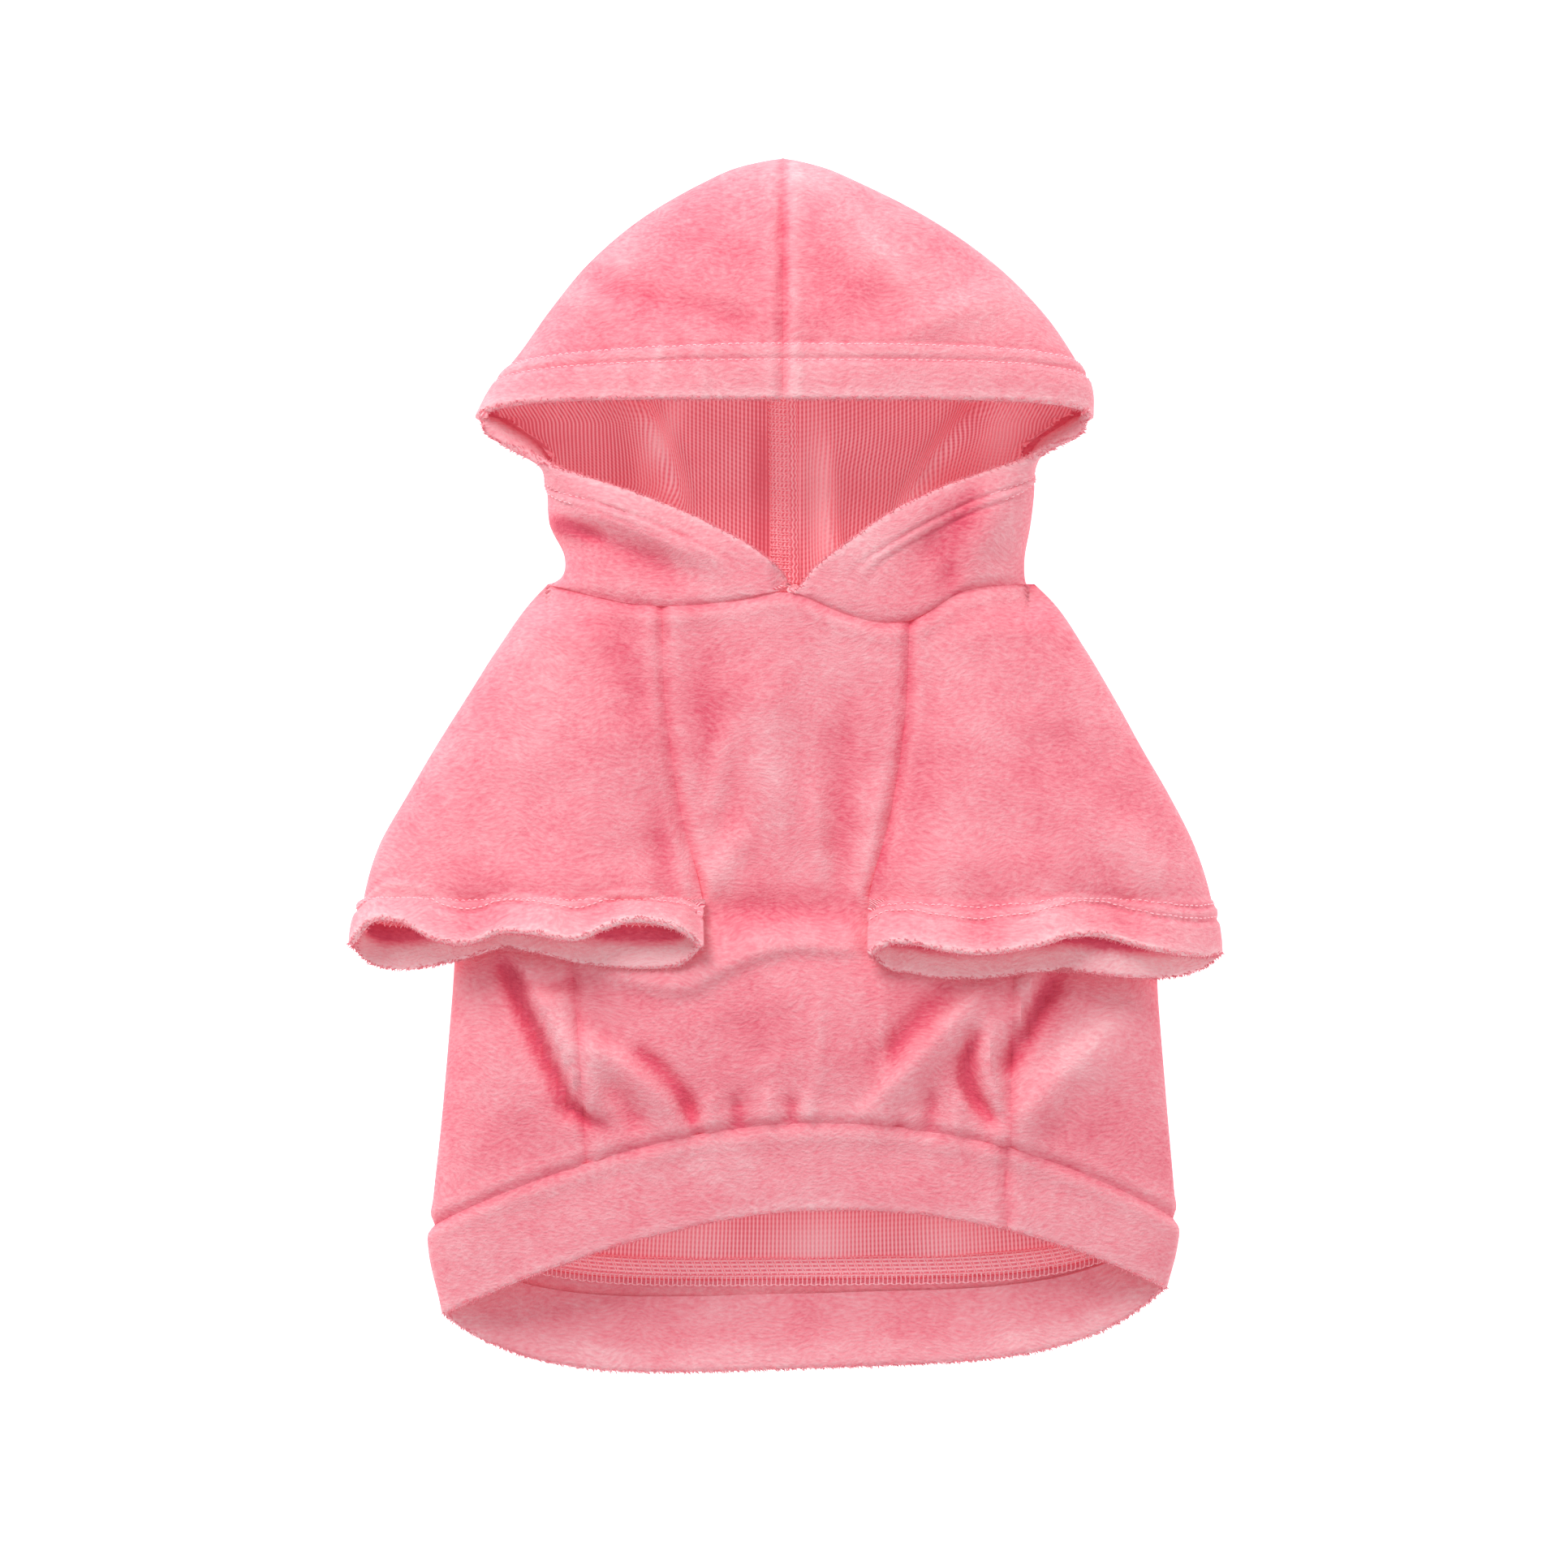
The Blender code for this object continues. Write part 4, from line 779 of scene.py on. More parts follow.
def shadeAndBrushingOf(sheet, points, toLip=None):
    # painted highlight over ridges and lips, painted shade in creases, and the patches of brushing and of
    # painted light and shade
    x, y = points[..., 0], points[..., 1]
    relief = foldRelief(sheet, x, y, 1.0) / mm
    lean = np.where(relief > 0, paintedLight["ridge"], paintedLight["crease"]) * np.tanh(relief / paintedLight["full"])
    for middleX, middleY, long, wide, turn, shade in rowsOf(brushAndShadeRows[sheet]):
        c, s = math.cos(math.radians(turn)), math.sin(math.radians(turn))
        u = ((x - middleX * mm) * c + (y - middleY * mm) * s) / (long * mm)
        v = ((y - middleY * mm) * c - (x - middleX * mm) * s) / (wide * mm)
        lean = lean + shade * np.exp(-(u**2) - v**2)
    if toLip is not None:
        lean = lean + paintedLight["lip"] * bell(toLip, paintedLight["lipWide"])
    return lean


def leafShade(leaf, deep=1.0):
    # painted highlight on the roll of a hem and just inside it, painted shade further in
    into = smoothStep(*paintedLight["leafFaces"], np.arange(leaf.shape[1]))
    return mix(paintedLight["lip"] * (1 + deep), paintedLight["leaf"] * deep, into) * np.ones(leaf.shape[:2])


def evened(values, passes, around):
    # evens directions from each line to the next
    for _ in range(passes):
        ends = (values[-2:-1], values[1:2]) if around else (values[:1], values[-1:])
        wide = np.concatenate([ends[0], values, ends[1]])
        values = (wide[:-2] + 2 * wide[1:-1] + wide[2:]) / 4
        if not around:
            values[0], values[-1] = wide[0], wide[-1]
    return values / np.linalg.norm(values, axis=-1, keepdims=True)


def acrossGroups(groups, distances, facing=False):
    # points, or normals, at distances along every line of every group
    read = [alongLines(lines, normals if facing else lines, distances) for lines, normals in groups]
    return np.concatenate(read)


def turnedHem(groups, width, thick, around=False):
    # the cloth rolled round the lip at each line's start, and the leaf that lies inside;
    # groups are sets of lines with their normals, one after the other along the lip
    radius = np.max(thick) / 2
    distances = radius + np.arange(0, width, cloth["step"])
    outer = acrossGroups(groups, distances)
    behind = acrossGroups(groups, [radius + cloth["hemAim"]])[:, 0]
    facing = evened(acrossGroups(groups, distances, True), cloth["evening"], around)
    away = outer[:, 0] - behind
    away = away - np.sum(away * facing[:, 0], axis=-1, keepdims=True) * facing[:, 0]
    away = evened(away, cloth["evening"], around)
    radii = np.broadcast_to(thick / 2, (len(outer),))[:, None, None]
    angles = np.linspace(0, math.pi, cloth["rollPoints"])[None, :, None]
    centre = outer[:, :1] - radii * facing[:, :1]
    roll = centre + radii * (np.cos(angles) * facing[:, :1] + np.sin(angles) * away[:, None])
    leaf = outer[:, 1:] - 2 * radii * facing[:, 1:]
    return np.concatenate([roll, leaf], axis=1)


def addGrid(name, points, kept=None, uv=None, lean=None):
    rows, columns = points.shape[:2]
    bpy.ops.object.select_all(action="DESELECT")
    bpy.ops.mesh.primitive_grid_add(x_subdivisions=columns - 1, y_subdivisions=rows - 1, size=1)
    panel = bpy.context.object
    panel.name = panel.data.name = name
    mesh = panel.data
    flat = np.empty(len(mesh.vertices) * 3)
    mesh.vertices.foreach_get("co", flat)
    flat = flat.reshape(-1, 3)
    column = np.rint((flat[:, 0] + 0.5) * (columns - 1)).astype(int)
    row = np.rint((flat[:, 1] + 0.5) * (rows - 1)).astype(int)
    mesh.vertices.foreach_set("co", points[row, column].ravel())
    if uv is None:
        uv = np.stack([lengthsAlong(points, 1), lengthsAlong(points, 0)], -1)
    corners = np.empty(len(mesh.loops), int)
    mesh.loops.foreach_get("vertex_index", corners)
    mesh.uv_layers[0].data.foreach_set("uv", uv[row[corners], column[corners]].ravel())
    # lean: painted light and shade of the pile, with the brushed patches
    lean = np.zeros(points.shape[:2]) if lean is None else lean
    brushedAndShaded = mesh.attributes.new("brushedAndShaded", "FLOAT", "POINT")
    brushedAndShaded.data.foreach_set("value", lean[row, column].astype(np.float32))
    if kept is not None:
        corner = corners.reshape(-1, 4)
        cellRow, cellColumn = row[corner].min(axis=1), column[corner].min(axis=1)
        bpy.context.tool_settings.mesh_select_mode = (False, False, True)
        bpy.ops.object.mode_set(mode="EDIT")
        bpy.ops.mesh.select_all(action="DESELECT")
        bpy.ops.object.mode_set(mode="OBJECT")
        mesh.polygons.foreach_set("select", ~kept[cellRow, cellColumn])
        bpy.ops.object.mode_set(mode="EDIT")
        bpy.ops.mesh.delete(type="FACE")
        bpy.ops.object.mode_set(mode="OBJECT")
    mesh.update()
    return panel


def sewTogether(parts):
    bpy.ops.object.select_all(action="DESELECT")
    for part in parts:
        part.select_set(True)
    bpy.context.view_layer.objects.active = parts[0]
    if len(parts) > 1:
        bpy.ops.object.join()
    return bpy.context.object


def finishCloth(panel, inside, wall, outerMaterial, innerMaterial):
    # merges, faces outwards, gives the cloth its wall and smooths it
    bpy.ops.object.select_all(action="DESELECT")
    panel.select_set(True)
    bpy.context.view_layer.objects.active = panel
    bpy.ops.object.mode_set(mode="EDIT")
    bpy.ops.mesh.select_all(action="SELECT")
    bpy.ops.mesh.remove_doubles(threshold=cloth["merge"])
    bpy.ops.mesh.normals_make_consistent(inside=False)
    bpy.ops.object.mode_set(mode="OBJECT")
    mesh = panel.data
    count = len(mesh.polygons)
    normal, centre, area = np.empty(count * 3), np.empty(count * 3), np.empty(count)
    mesh.polygons.foreach_get("normal", normal)
    mesh.polygons.foreach_get("center", centre)
    mesh.polygons.foreach_get("area", area)
    fromInside = centre.reshape(-1, 3) - np.array(inside)
    if np.sum(normal.reshape(-1, 3) * fromInside, axis=1) @ area < 0:
        bpy.ops.object.mode_set(mode="EDIT")
        bpy.ops.mesh.select_all(action="SELECT")
        bpy.ops.mesh.flip_normals()
        bpy.ops.object.mode_set(mode="OBJECT")
    mesh.materials.append(outerMaterial)
    mesh.materials.append(innerMaterial)
    bpy.ops.object.modifier_add(type="SOLIDIFY")
    solidify = panel.modifiers[-1]
    solidify.thickness = wall
    solidify.offset = -1
    solidify.use_quality_normals = True
    solidify.material_offset = 1
    solidify.material_offset_rim = 1
    bpy.ops.object.modifier_apply(modifier=solidify.name)
    bpy.ops.object.shade_smooth_by_angle(angle=math.radians(cloth["sharp"]))
    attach(panel, root)
    print(f"{panel.name}: cloth {area.sum():.4f} m2, {len(mesh.polygons) * 2} triangles")


# Materials


def pink(code):
    # sRGB hex to linear
    channels = [int(code[i : i + 2], 16) / 255 for i in (1, 3, 5)]
    linear = [c / 12.92 if c <= 0.04045 else ((c + 0.055) / 1.055) ** 2.4 for c in channels]
    return (*linear, 1.0)


def addNode(tree, kind, inputs=None, stops=(), **settings):
    # an input is linked if it is given a socket, and set if it is given a value; stops are a ramp's colours
    node = tree.nodes.new(kind)
    for name, value in settings.items():
        setattr(node, name, value)
    for name, value in (inputs or {}).items():
        if isinstance(value, bpy.types.NodeSocket):
            tree.links.new(value, node.inputs[name])
        else:
            node.inputs[name].default_value = value
    for i, (place, code) in enumerate(stops):
        elements = node.color_ramp.elements
        element = elements[i] if i < len(elements) else elements.new(place)
        element.position, element.color = place, pink(code)
    return node


def newMaterial(name):
    material = bpy.data.materials.new(name)
    material.use_nodes = True
    tree = material.node_tree
    shader = tree.nodes["Principled BSDF"]
    return material, tree, shader


velourLook = {
    "tones": (  # painted shade to painted highlight: from pile that leans away from the light to pile that leans to it
        (0.00, "#CE3D5B"),
        (0.25, "#E35B72"),
        (0.51, "#F28B99"),
        (0.71, "#F6A8B2"),
        (0.96, "#FCCBD0"),
    ),
    "patch": 30.0 * mm,  # where the pile is brushed one way
    "patchShare": 0.5,
    "patchLean": 0.05,
    "ruffle": 7.0 * mm,  # smaller marks of handling
    "ruffleShare": 0.22,
    "tuft": 0.8 * mm,  # across a streak of pile, and
    "tuftLong": 2.0 * mm,  # along it, which runs with the knit's rows
    "tuftShare": 0.72,
    "turn": 22 * mm,  # the nap turns slowly, so the streaks bend with it
    "swing": 11 * mm,
    "contrast": 0.83,
    "offset": -0.09,
    "fuzz": 0.7 * mm,
    "sheen": "#FFD3D9",
    "scatter": "#FF7C95",  # painted glow: light that scatters in the pile, given as a warmer pink emission
}


def makeVelour():
    # cut-pile velour knit: a short dense pile, painted pale where it leans to the light and painted deep where
    # it leans away
    material, tree, shader = newMaterial("cut_pile_velour")
    look = velourLook
    place = addNode(tree, "ShaderNodeTexCoord").outputs["Object"]
    patch = addNode(
        tree,
        "ShaderNodeTexNoise",
        {"Vector": place, "Scale": 1 / look["patch"], "Detail": 3.0, "Roughness": 0.55},
    )
    ruffle = addNode(tree, "ShaderNodeTexNoise", {"Vector": place, "Scale": 1 / look["ruffle"], "Detail": 2.0})
    turn = addNode(tree, "ShaderNodeTexNoise", {"Vector": place, "Scale": 1 / look["turn"], "Detail": 1.0})
    centred = addNode(
        tree, "ShaderNodeVectorMath", {0: turn.outputs["Color"], 1: (0.5, 0.5, 0.5)}, operation="SUBTRACT"
    )
    swung = addNode(
        tree, "ShaderNodeVectorMath", {0: centred.outputs[0], "Scale": look["swing"]}, operation="SCALE"
    )
    nap = addNode(tree, "ShaderNodeVectorMath", {0: place, 1: swung.outputs[0]}, operation="ADD")
    along, across = 1 / look["tuftLong"], 1 / look["tuft"]
    stretch = addNode(tree, "ShaderNodeMapping", {"Vector": nap.outputs[0], "Scale": (along, across, along)})
    streak = addNode(tree, "ShaderNodeTexNoise", {"Vector": stretch.outputs[0], "Scale": 1.0, "Detail": 3.0})
    brushedAndShaded = addNode(tree, "ShaderNodeAttribute", attribute_name="brushedAndShaded")
    # painted light and shade: lean of the pile, 0 away from the light and 1 to it
    lean = look["patchLean"]
    for source, share in ((patch, "patchShare"), (ruffle, "ruffleShare"), (streak, "tuftShare")):
        inputs = {0: source.outputs["Fac"], 1: look[share], 2: lean}
        lean = addNode(tree, "ShaderNodeMath", inputs, operation="MULTIPLY_ADD").outputs[0]
    # adds the painted light and shade of folds, seams, lips and insides, with the brushed patches
    lean = addNode(tree, "ShaderNodeMath", {0: brushedAndShaded.outputs["Fac"], 1: lean}, operation="ADD").outputs[0]
    inputs = {0: lean, 1: look["contrast"], 2: look["offset"]}
    lean = addNode(tree, "ShaderNodeMath", inputs, operation="MULTIPLY_ADD")
    colour = addNode(tree, "ShaderNodeValToRGB", {"Fac": lean.outputs[0]}, look["tones"])
    tree.links.new(colour.outputs["Color"], shader.inputs["Base Color"])
    fuzz = addNode(tree, "ShaderNodeTexNoise", {"Vector": place, "Scale": 1 / look["fuzz"], "Detail": 2.0})
    pile = addNode(tree, "ShaderNodeMath", {0: streak.outputs["Fac"], 1: fuzz.outputs["Fac"]}, operation="ADD")
    bump = addNode(tree, "ShaderNodeBump", {"Height": pile.outputs[0], "Strength": 0.55, "Distance": 0.5 * mm})
    tree.links.new(bump.outputs[0], shader.inputs["Normal"])
    shader.inputs["Roughness"].default_value = 0.95
    shader.inputs["IOR"].default_value = 1.45
    shader.inputs["Specular IOR Level"].default_value = 0.15
    shader.inputs["Sheen Weight"].default_value = 0.35
    shader.inputs["Sheen Roughness"].default_value = 0.5
    shader.inputs["Sheen Tint"].default_value = pink(look["sheen"])
    # painted glow for light scattered in the pile
    shader.inputs["Emission Color"].default_value = pink(look["scatter"])
    shader.inputs["Emission Strength"].default_value = 0.05
    return material


knitLook = {
    "tones": ((0.0, "#CC3A52"), (0.25, "#E57282"), (0.6, "#F8A0AD"), (1.0, "#FFD0D5")),  # painted shade in the valleys between the loops to paler crests
    "wale": 1.3 * mm,  # the real 1.13 would be lost between the picture's pixels
    "course": 1.6 * mm,
    "courseShare": 0.2,
    "high": 0.32,
    "offset": 0.35,
    "patch": 12 * mm,
    "through": "#FF8895",  # painted glow: thin cloth, some of the studio's light comes through it
}


def makeKnitBack():
    # knit side of the velour: fine upright wales of matt loops
    material, tree, shader = newMaterial("velour_knit_back")
    look = knitLook
    uv = addNode(tree, "ShaderNodeUVMap", uv_map="UVMap")
    split = addNode(tree, "ShaderNodeSeparateXYZ", {0: uv.outputs["UV"]})
    waves = {}
    for name, axis in (("wale", "X"), ("course", "Y")):
        turned = addNode(
            tree, "ShaderNodeMath", {0: split.outputs[axis], 1: 2 * math.pi / look[name]}, operation="MULTIPLY"
        )
        waves[name] = addNode(tree, "ShaderNodeMath", {0: turned.outputs[0]}, operation="SINE").outputs[0]
    inputs = {0: waves["course"], 1: look["courseShare"], 2: waves["wale"]}
    loops = addNode(tree, "ShaderNodeMath", inputs, operation="MULTIPLY_ADD")
    place = addNode(tree, "ShaderNodeTexCoord").outputs["Object"]
    patch = addNode(tree, "ShaderNodeTexNoise", {"Vector": place, "Scale": 1 / look["patch"], "Detail": 2.0})
    inputs = {0: loops.outputs[0], 1: look["high"], 2: look["offset"]}
    height = addNode(tree, "ShaderNodeMath", inputs, operation="MULTIPLY_ADD").outputs[0]
    inputs = {0: patch.outputs["Fac"], 1: height, 2: height}
    shade = addNode(tree, "ShaderNodeMath", inputs, operation="MULTIPLY_ADD")
    # painted light and shade of the hood's inside and of the raw edges
    brushedAndShaded = addNode(tree, "ShaderNodeAttribute", attribute_name="brushedAndShaded")
    lit = addNode(tree, "ShaderNodeMath", {0: shade.outputs[0], 1: brushedAndShaded.outputs["Fac"]}, operation="ADD")
    colour = addNode(tree, "ShaderNodeValToRGB", {"Fac": lit.outputs[0]}, look["tones"])
    tree.links.new(colour.outputs["Color"], shader.inputs["Base Color"])
    bump = addNode(tree, "ShaderNodeBump", {"Height": loops.outputs[0], "Strength": 0.8, "Distance": 0.25 * mm})
    tree.links.new(bump.outputs[0], shader.inputs["Normal"])
    shader.inputs["Roughness"].default_value = 0.9
    shader.inputs["Specular IOR Level"].default_value = 0.2
    # painted glow of light that comes through the thin cloth
    shader.inputs["Emission Color"].default_value = pink(look["through"])
    shader.inputs["Emission Strength"].default_value = 0.24
    return material


threadLook = {
    "tones": ((0.3, "#FFB4C0"), (0.7, "#FFDAE0")),
    "twist": 0.8 * mm,
    "thick": 0.42 * mm,
    "gap": 0.24,  # share of the pitch between two stitches
    "lift": 0.22 * mm,
    "sink": 0.35 * mm,
}


def makeThread():
    # spun polyester thread: a matt twist, a shade paler than the pile it is sewn in
    material, tree, shader = newMaterial("polyester_thread")
    look = threadLook
    place = addNode(tree, "ShaderNodeTexCoord").outputs["Object"]
    twist = addNode(tree, "ShaderNodeTexNoise", {"Vector": place, "Scale": 1 / look["twist"], "Detail": 2.0})
    tone = addNode(tree, "ShaderNodeValToRGB", {"Fac": twist.outputs["Fac"]}, look["tones"])
    tree.links.new(tone.outputs["Color"], shader.inputs["Base Color"])
    bump = addNode(
        tree, "ShaderNodeBump", {"Height": twist.outputs["Fac"], "Strength": 0.4, "Distance": 0.1 * mm}
    )
    tree.links.new(bump.outputs[0], shader.inputs["Normal"])
    shader.inputs["Roughness"].default_value = 0.7
    # painted glow of light that comes through the thin cloth
    shader.inputs["Emission Color"].default_value = pink(knitLook["through"])
    shader.inputs["Emission Strength"].default_value = 0.14
    return material


velour = makeVelour()
knitBack = makeKnitBack()
thread = makeThread()
print("materials made")


# Panels


def seamGroove(away, points):
    # a sewn seam pulls the cloth in, a little more at some stitches, and the cloth beside it stands up
    pucker = 1 + cloth["pucker"] * softNoise(points[..., 0], points[..., 1], cloth["puckerLength"], 5)
    groove = -cloth["grooveDeep"] * pucker * bell(away, cloth["grooveWide"])
    return groove + cloth["besideHigh"] * bell(away - cloth["besideAway"], cloth["besideWide"])


def pressed(points, relief):
    # grooves of seams on the belly side go straight down, so that both panels meet in them
    moved = points.copy()
    moved[..., 2] += relief
    return moved


def needleRows(away, points, rows):
    # hem: the double cloth stands up to the outer needle row, and each row sinks in
    relief = cloth["hemHigh"] * smoothStep(max(rows) + 1.6 * mm, max(rows) - 0.8 * mm, away)
    dimple = 1 + cloth["dimple"] * softNoise(points[..., 0], points[..., 1], cloth["dimpleLength"], 6)
    for row in rows:
        relief = relief - cloth["needleDeep"] * dimple * bell(away - row, cloth["needleWide"])
    return relief


def upperRows(faces):
    return np.linspace(0, 1, faces + 1)[:-1]


def stitchesAlong(line, facing, pitch, sway=0.0, lift=threadLook["lift"]):
    # one arc of thread for each stitch; sway turns them to a zigzag
    lengths = lengthsAlong(line[None], 1)[0]
    share = np.linspace(0, 1, 5)
    arcs = []
    for i in range(int(lengths[-1] / pitch)):
        at = (i + threadLook["gap"] / 2 + (1 - threadLook["gap"]) * share) * pitch
        place = np.stack([np.interp(at, lengths, line[:, k]) for k in range(3)], -1)
        up = np.stack([np.interp(at, lengths, facing[:, k]) for k in range(3)], -1)
        up /= np.linalg.norm(up, axis=-1, keepdims=True)
        aside = np.cross(place[-1] - place[0], up[2])
        aside /= max(np.linalg.norm(aside), 1e-9)
        height = mix(-threadLook["sink"], lift, np.sin(math.pi * share))
        swing = sway * (1 if i % 2 else -1) * (2 * share - 1)
        arcs.append(place + up * height[:, None] + aside * swing[:, None])
    return arcs


def makeThreads(name, arcs, material=None, thick=threadLook["thick"], tips=None):
    # tips are the shares of the thickness at the points of each arc
    bpy.ops.object.select_all(action="DESELECT")
    bpy.ops.curve.primitive_nurbs_path_add()
    curve = bpy.context.object
    curve.name = name
    curve.data.splines.clear()
    for arc in arcs:
        spline = curve.data.splines.new("POLY")
        spline.points.add(len(arc) - 1)
        spline.points.foreach_set("co", np.column_stack([arc, np.ones(len(arc))]).ravel())
        if tips is not None:
            spline.points.foreach_set("radius", tips)
    curve.data.bevel_depth = thick / 2
    curve.data.bevel_resolution = 0
    curve.data.use_fill_caps = True
    curve.data.materials.append(material or thread)
    bpy.ops.object.convert(target="MESH")
    piece = bpy.context.object
    piece.data.name = name
    bpy.ops.object.shade_smooth()
    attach(piece, root)
    print(f"{name}: {len(arcs)} strands, {len(piece.data.polygons) * 2} triangles")


pileFringe = {
    "spacing": 0.20 * mm,  # from tuft to tuft along a lip
    "long": 1.0 * mm,
    "thick": 0.34 * mm,
    "scatter": 0.45,
    "tips": (1.0, 0.8, 0.25),  # shares of the thickness from root to end
    "seamTufts": 160,  # where the underarm seam crosses a sleeve's lip
    "seamWide": 1.6 * mm,
}


def fringeAlong(hem, seed, tufted=None):
    # the pile opens on the roll of a hem and stands out as a short fringe
    look = pileFringe
    roll = hem[:, : cloth["rollPoints"]]
    middle = (roll[:, 0] + roll[:, -1]) / 2
    lengths = lengthsAlong(roll[:, 3][None], 1)[0]
    rng = np.random.default_rng(seed)
    places = np.arange(0.5 * mm, lengths[-1] - 0.5 * mm, look["spacing"])
    if tufted is not None:
        tufts = rng.normal(0, look["seamWide"], look["seamTufts"]) + tufted(lengths, roll)
        places = np.concatenate([places, tufts])
    arcs = []
    for at in np.clip(places, lengths[0], lengths[-1]):
        turn = rng.uniform(0.6, 6.0)
        i, k = min(int(np.searchsorted(lengths, at)), len(roll) - 1), int(turn)
        base = mix(roll[i, k], roll[i, k + 1], turn - k)
        if i > 0:
            near = mix(roll[i - 1, k], roll[i - 1, k + 1], turn - k)
            base = mix(near, base, (at - lengths[i - 1]) / max(lengths[i] - lengths[i - 1], 1e-9))
        out = base - middle[i]
        out = out / max(np.linalg.norm(out), 1e-9) + rng.normal(0, look["scatter"], 3)
        out *= look["long"] * rng.uniform(0.6, 1.3) / np.linalg.norm(out)
        bend = rng.normal(0, 0.12 * mm, 3)
        arcs.append(np.array([base - 0.25 * out, base + 0.5 * out + bend, base + out]))
    return arcs


def makeFringe(name, arcs):
    makeThreads(name, arcs, velour, pileFringe["thick"], pileFringe["tips"])


def makeBelly():
    belly = {
        "name": "belly_velour",
        "chestFaces": 50,
        "wingFaces": 28,
        "upperFaces": 68,
        "lowerFaces": 62,
        "raglanFade": 8 * mm,  # how far the raglan seams mark the cloth below the underarm
    }
    chestFaces, wingFaces = belly["chestFaces"], belly["wingFaces"]
    upper = upperRows(belly["upperFaces"])
    chest = [torso(row, spread(raglanShare(row, -1), raglanShare(row, 1), chestFaces), True) for row in upper]
    innerLeft, innerRight = raglanShare(np.float64(1.0), -1), raglanShare(np.float64(1.0), 1)
    lower = []
    for row in 1 + np.linspace(0, 1, belly["lowerFaces"] + 1):
        left, right = readAt(seamRows, "sideLeft", row), readAt(seamRows, "sideRight", row)
        start = [
            spread(left, innerLeft, wingFaces)[:-1],
            spread(innerLeft, innerRight, chestFaces),
            spread(innerRight, right, wingFaces)[1:],
        ]
        even = spread(left, right, 2 * wingFaces + chestFaces)
        lower.append(torso(row, mix(np.concatenate(start), even, smoothStep(0, 1, row - 1)), True))
    lower = np.array(lower)
    blank = np.repeat(lower[:1], len(upper), axis=0)
    blank[:, wingFaces : wingFaces + chestFaces + 1] = chest
    points = np.concatenate([blank, lower])
    kept = np.zeros(points.shape[:2], bool)
    kept[len(upper) :] = True
    kept[:, wingFaces : wingFaces + chestFaces] = True
    normals = normalsOf(points, (0, underarmY, 0))
    down = lengthsAlong(points, 0)
    across = lengthsAlong(points, 1)
    fromChestLeft = across - across[:, wingFaces, None]
    fromChestRight = across[:, wingFaces + chestFaces, None] - across
    inUpper = np.arange(len(points)) < len(upper)
    toSide = np.minimum(across, across[:, -1:] - across)
    toRaglan = np.minimum(fromChestLeft, fromChestRight)
    fadeRaglan = bell(down - down[len(upper), wingFaces], belly["raglanFade"])[:, :1]
    grooves = seamGroove(np.abs(toRaglan), points) * np.where(inUpper[:, None], 1, fadeRaglan)
    grooves = grooves + np.where(inUpper[:, None], 0, seamGroove(toSide, points))
    grooves = grooves + seamGroove(down, points) * inUpper[:, None]
    relief = seamGroove(down[-1] - down, points) * ~inUpper[:, None]
    # painted shade in creases and seams, painted highlight on ridges, and the brushed patches with their
    # painted light and shade
    lean = shadeAndBrushingOf("body", points) + paintedLight["seam"] * (grooves + relief) / mm
    points = pressed(points + normals * relief[..., None], grooves)
    middle = across[:, wingFaces + chestFaces // 2, None]
    panel = addGrid(belly["name"], points, kept, np.stack([across - middle, down], -1), lean)
    finishCloth(panel, (0, underarmY, 0), cloth["wall"], velour, knitBack)
    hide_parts("belly_panel")


def makeBack():
    back = {"name": "back_velour", "sideFaces": 32, "backFaces": 96, "upperFaces": 46, "lowerFaces": 74}
    sideFaces, backFaces = back["sideFaces"], back["backFaces"]

    def ring(row):
        left, right = readAt(seamRows, "sideLeft", row), readAt(seamRows, "sideRight", row)
        parts = (
            (roundedSpread(left, -1.0, sideFaces)[:-1], True),
            (roundedSpread(-1.0, 1.0, backFaces), False),
            (roundedSpread(1.0, right, sideFaces)[1:], True),
        )
        return np.concatenate([torso(row, shares, front) for shares, front in parts])

    upper = upperRows(back["upperFaces"])
    lower = np.array([ring(row) for row in 1 + np.linspace(0, 1, back["lowerFaces"] + 1)])
    raglan = [roundedSpread(-1.0, 1.0, backFaces) * readAt(seamRows, "backRaglan", row) for row in upper]
    leaf = np.array([torso(row, shares, False) for row, shares in zip(upper, raglan)])
    blank = np.repeat(lower[:1], len(upper), axis=0)
    blank[:, sideFaces : sideFaces + backFaces + 1] = leaf
    points = np.concatenate([blank, lower])
    kept = np.zeros(points.shape[:2], bool)
    kept[len(upper) :] = True
    kept[:, sideFaces : sideFaces + backFaces] = True
    inside = (0, underarmY, garment["bodyRise"] / 3)
    normals = normalsOf(points, inside)
    down = lengthsAlong(points, 0)
    across = lengthsAlong(points, 1)
    inUpper = (np.arange(len(points)) < len(upper))[:, None]
    toSide = np.minimum(across, across[:, -1:] - across)
    grooves = seamGroove(toSide, points) * ~inUpper
    relief = seamGroove(down[-1] - down, points) * ~inUpper
    onBack = np.zeros(points.shape[1], bool)
    onBack[sideFaces : sideFaces + backFaces + 1] = True
    # painted light and shade of the back's inside and of the sides, with painted shade in creases and seams
    lean = np.where(onBack[None, :], shadeAndBrushingOf("bodyBack", points), shadeAndBrushingOf("body", points))
    lean = lean + paintedLight["seam"] * (grooves + relief) / mm
    points = pressed(points + normals * relief[..., None], grooves)
    middle = across[:, sideFaces + backFaces // 2, None]
    panel = addGrid(back["name"], points, kept, np.stack([across - middle, down], -1), lean)
    finishCloth(panel, inside, cloth["wall"], velour, knitBack)
    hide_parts("back_panel")


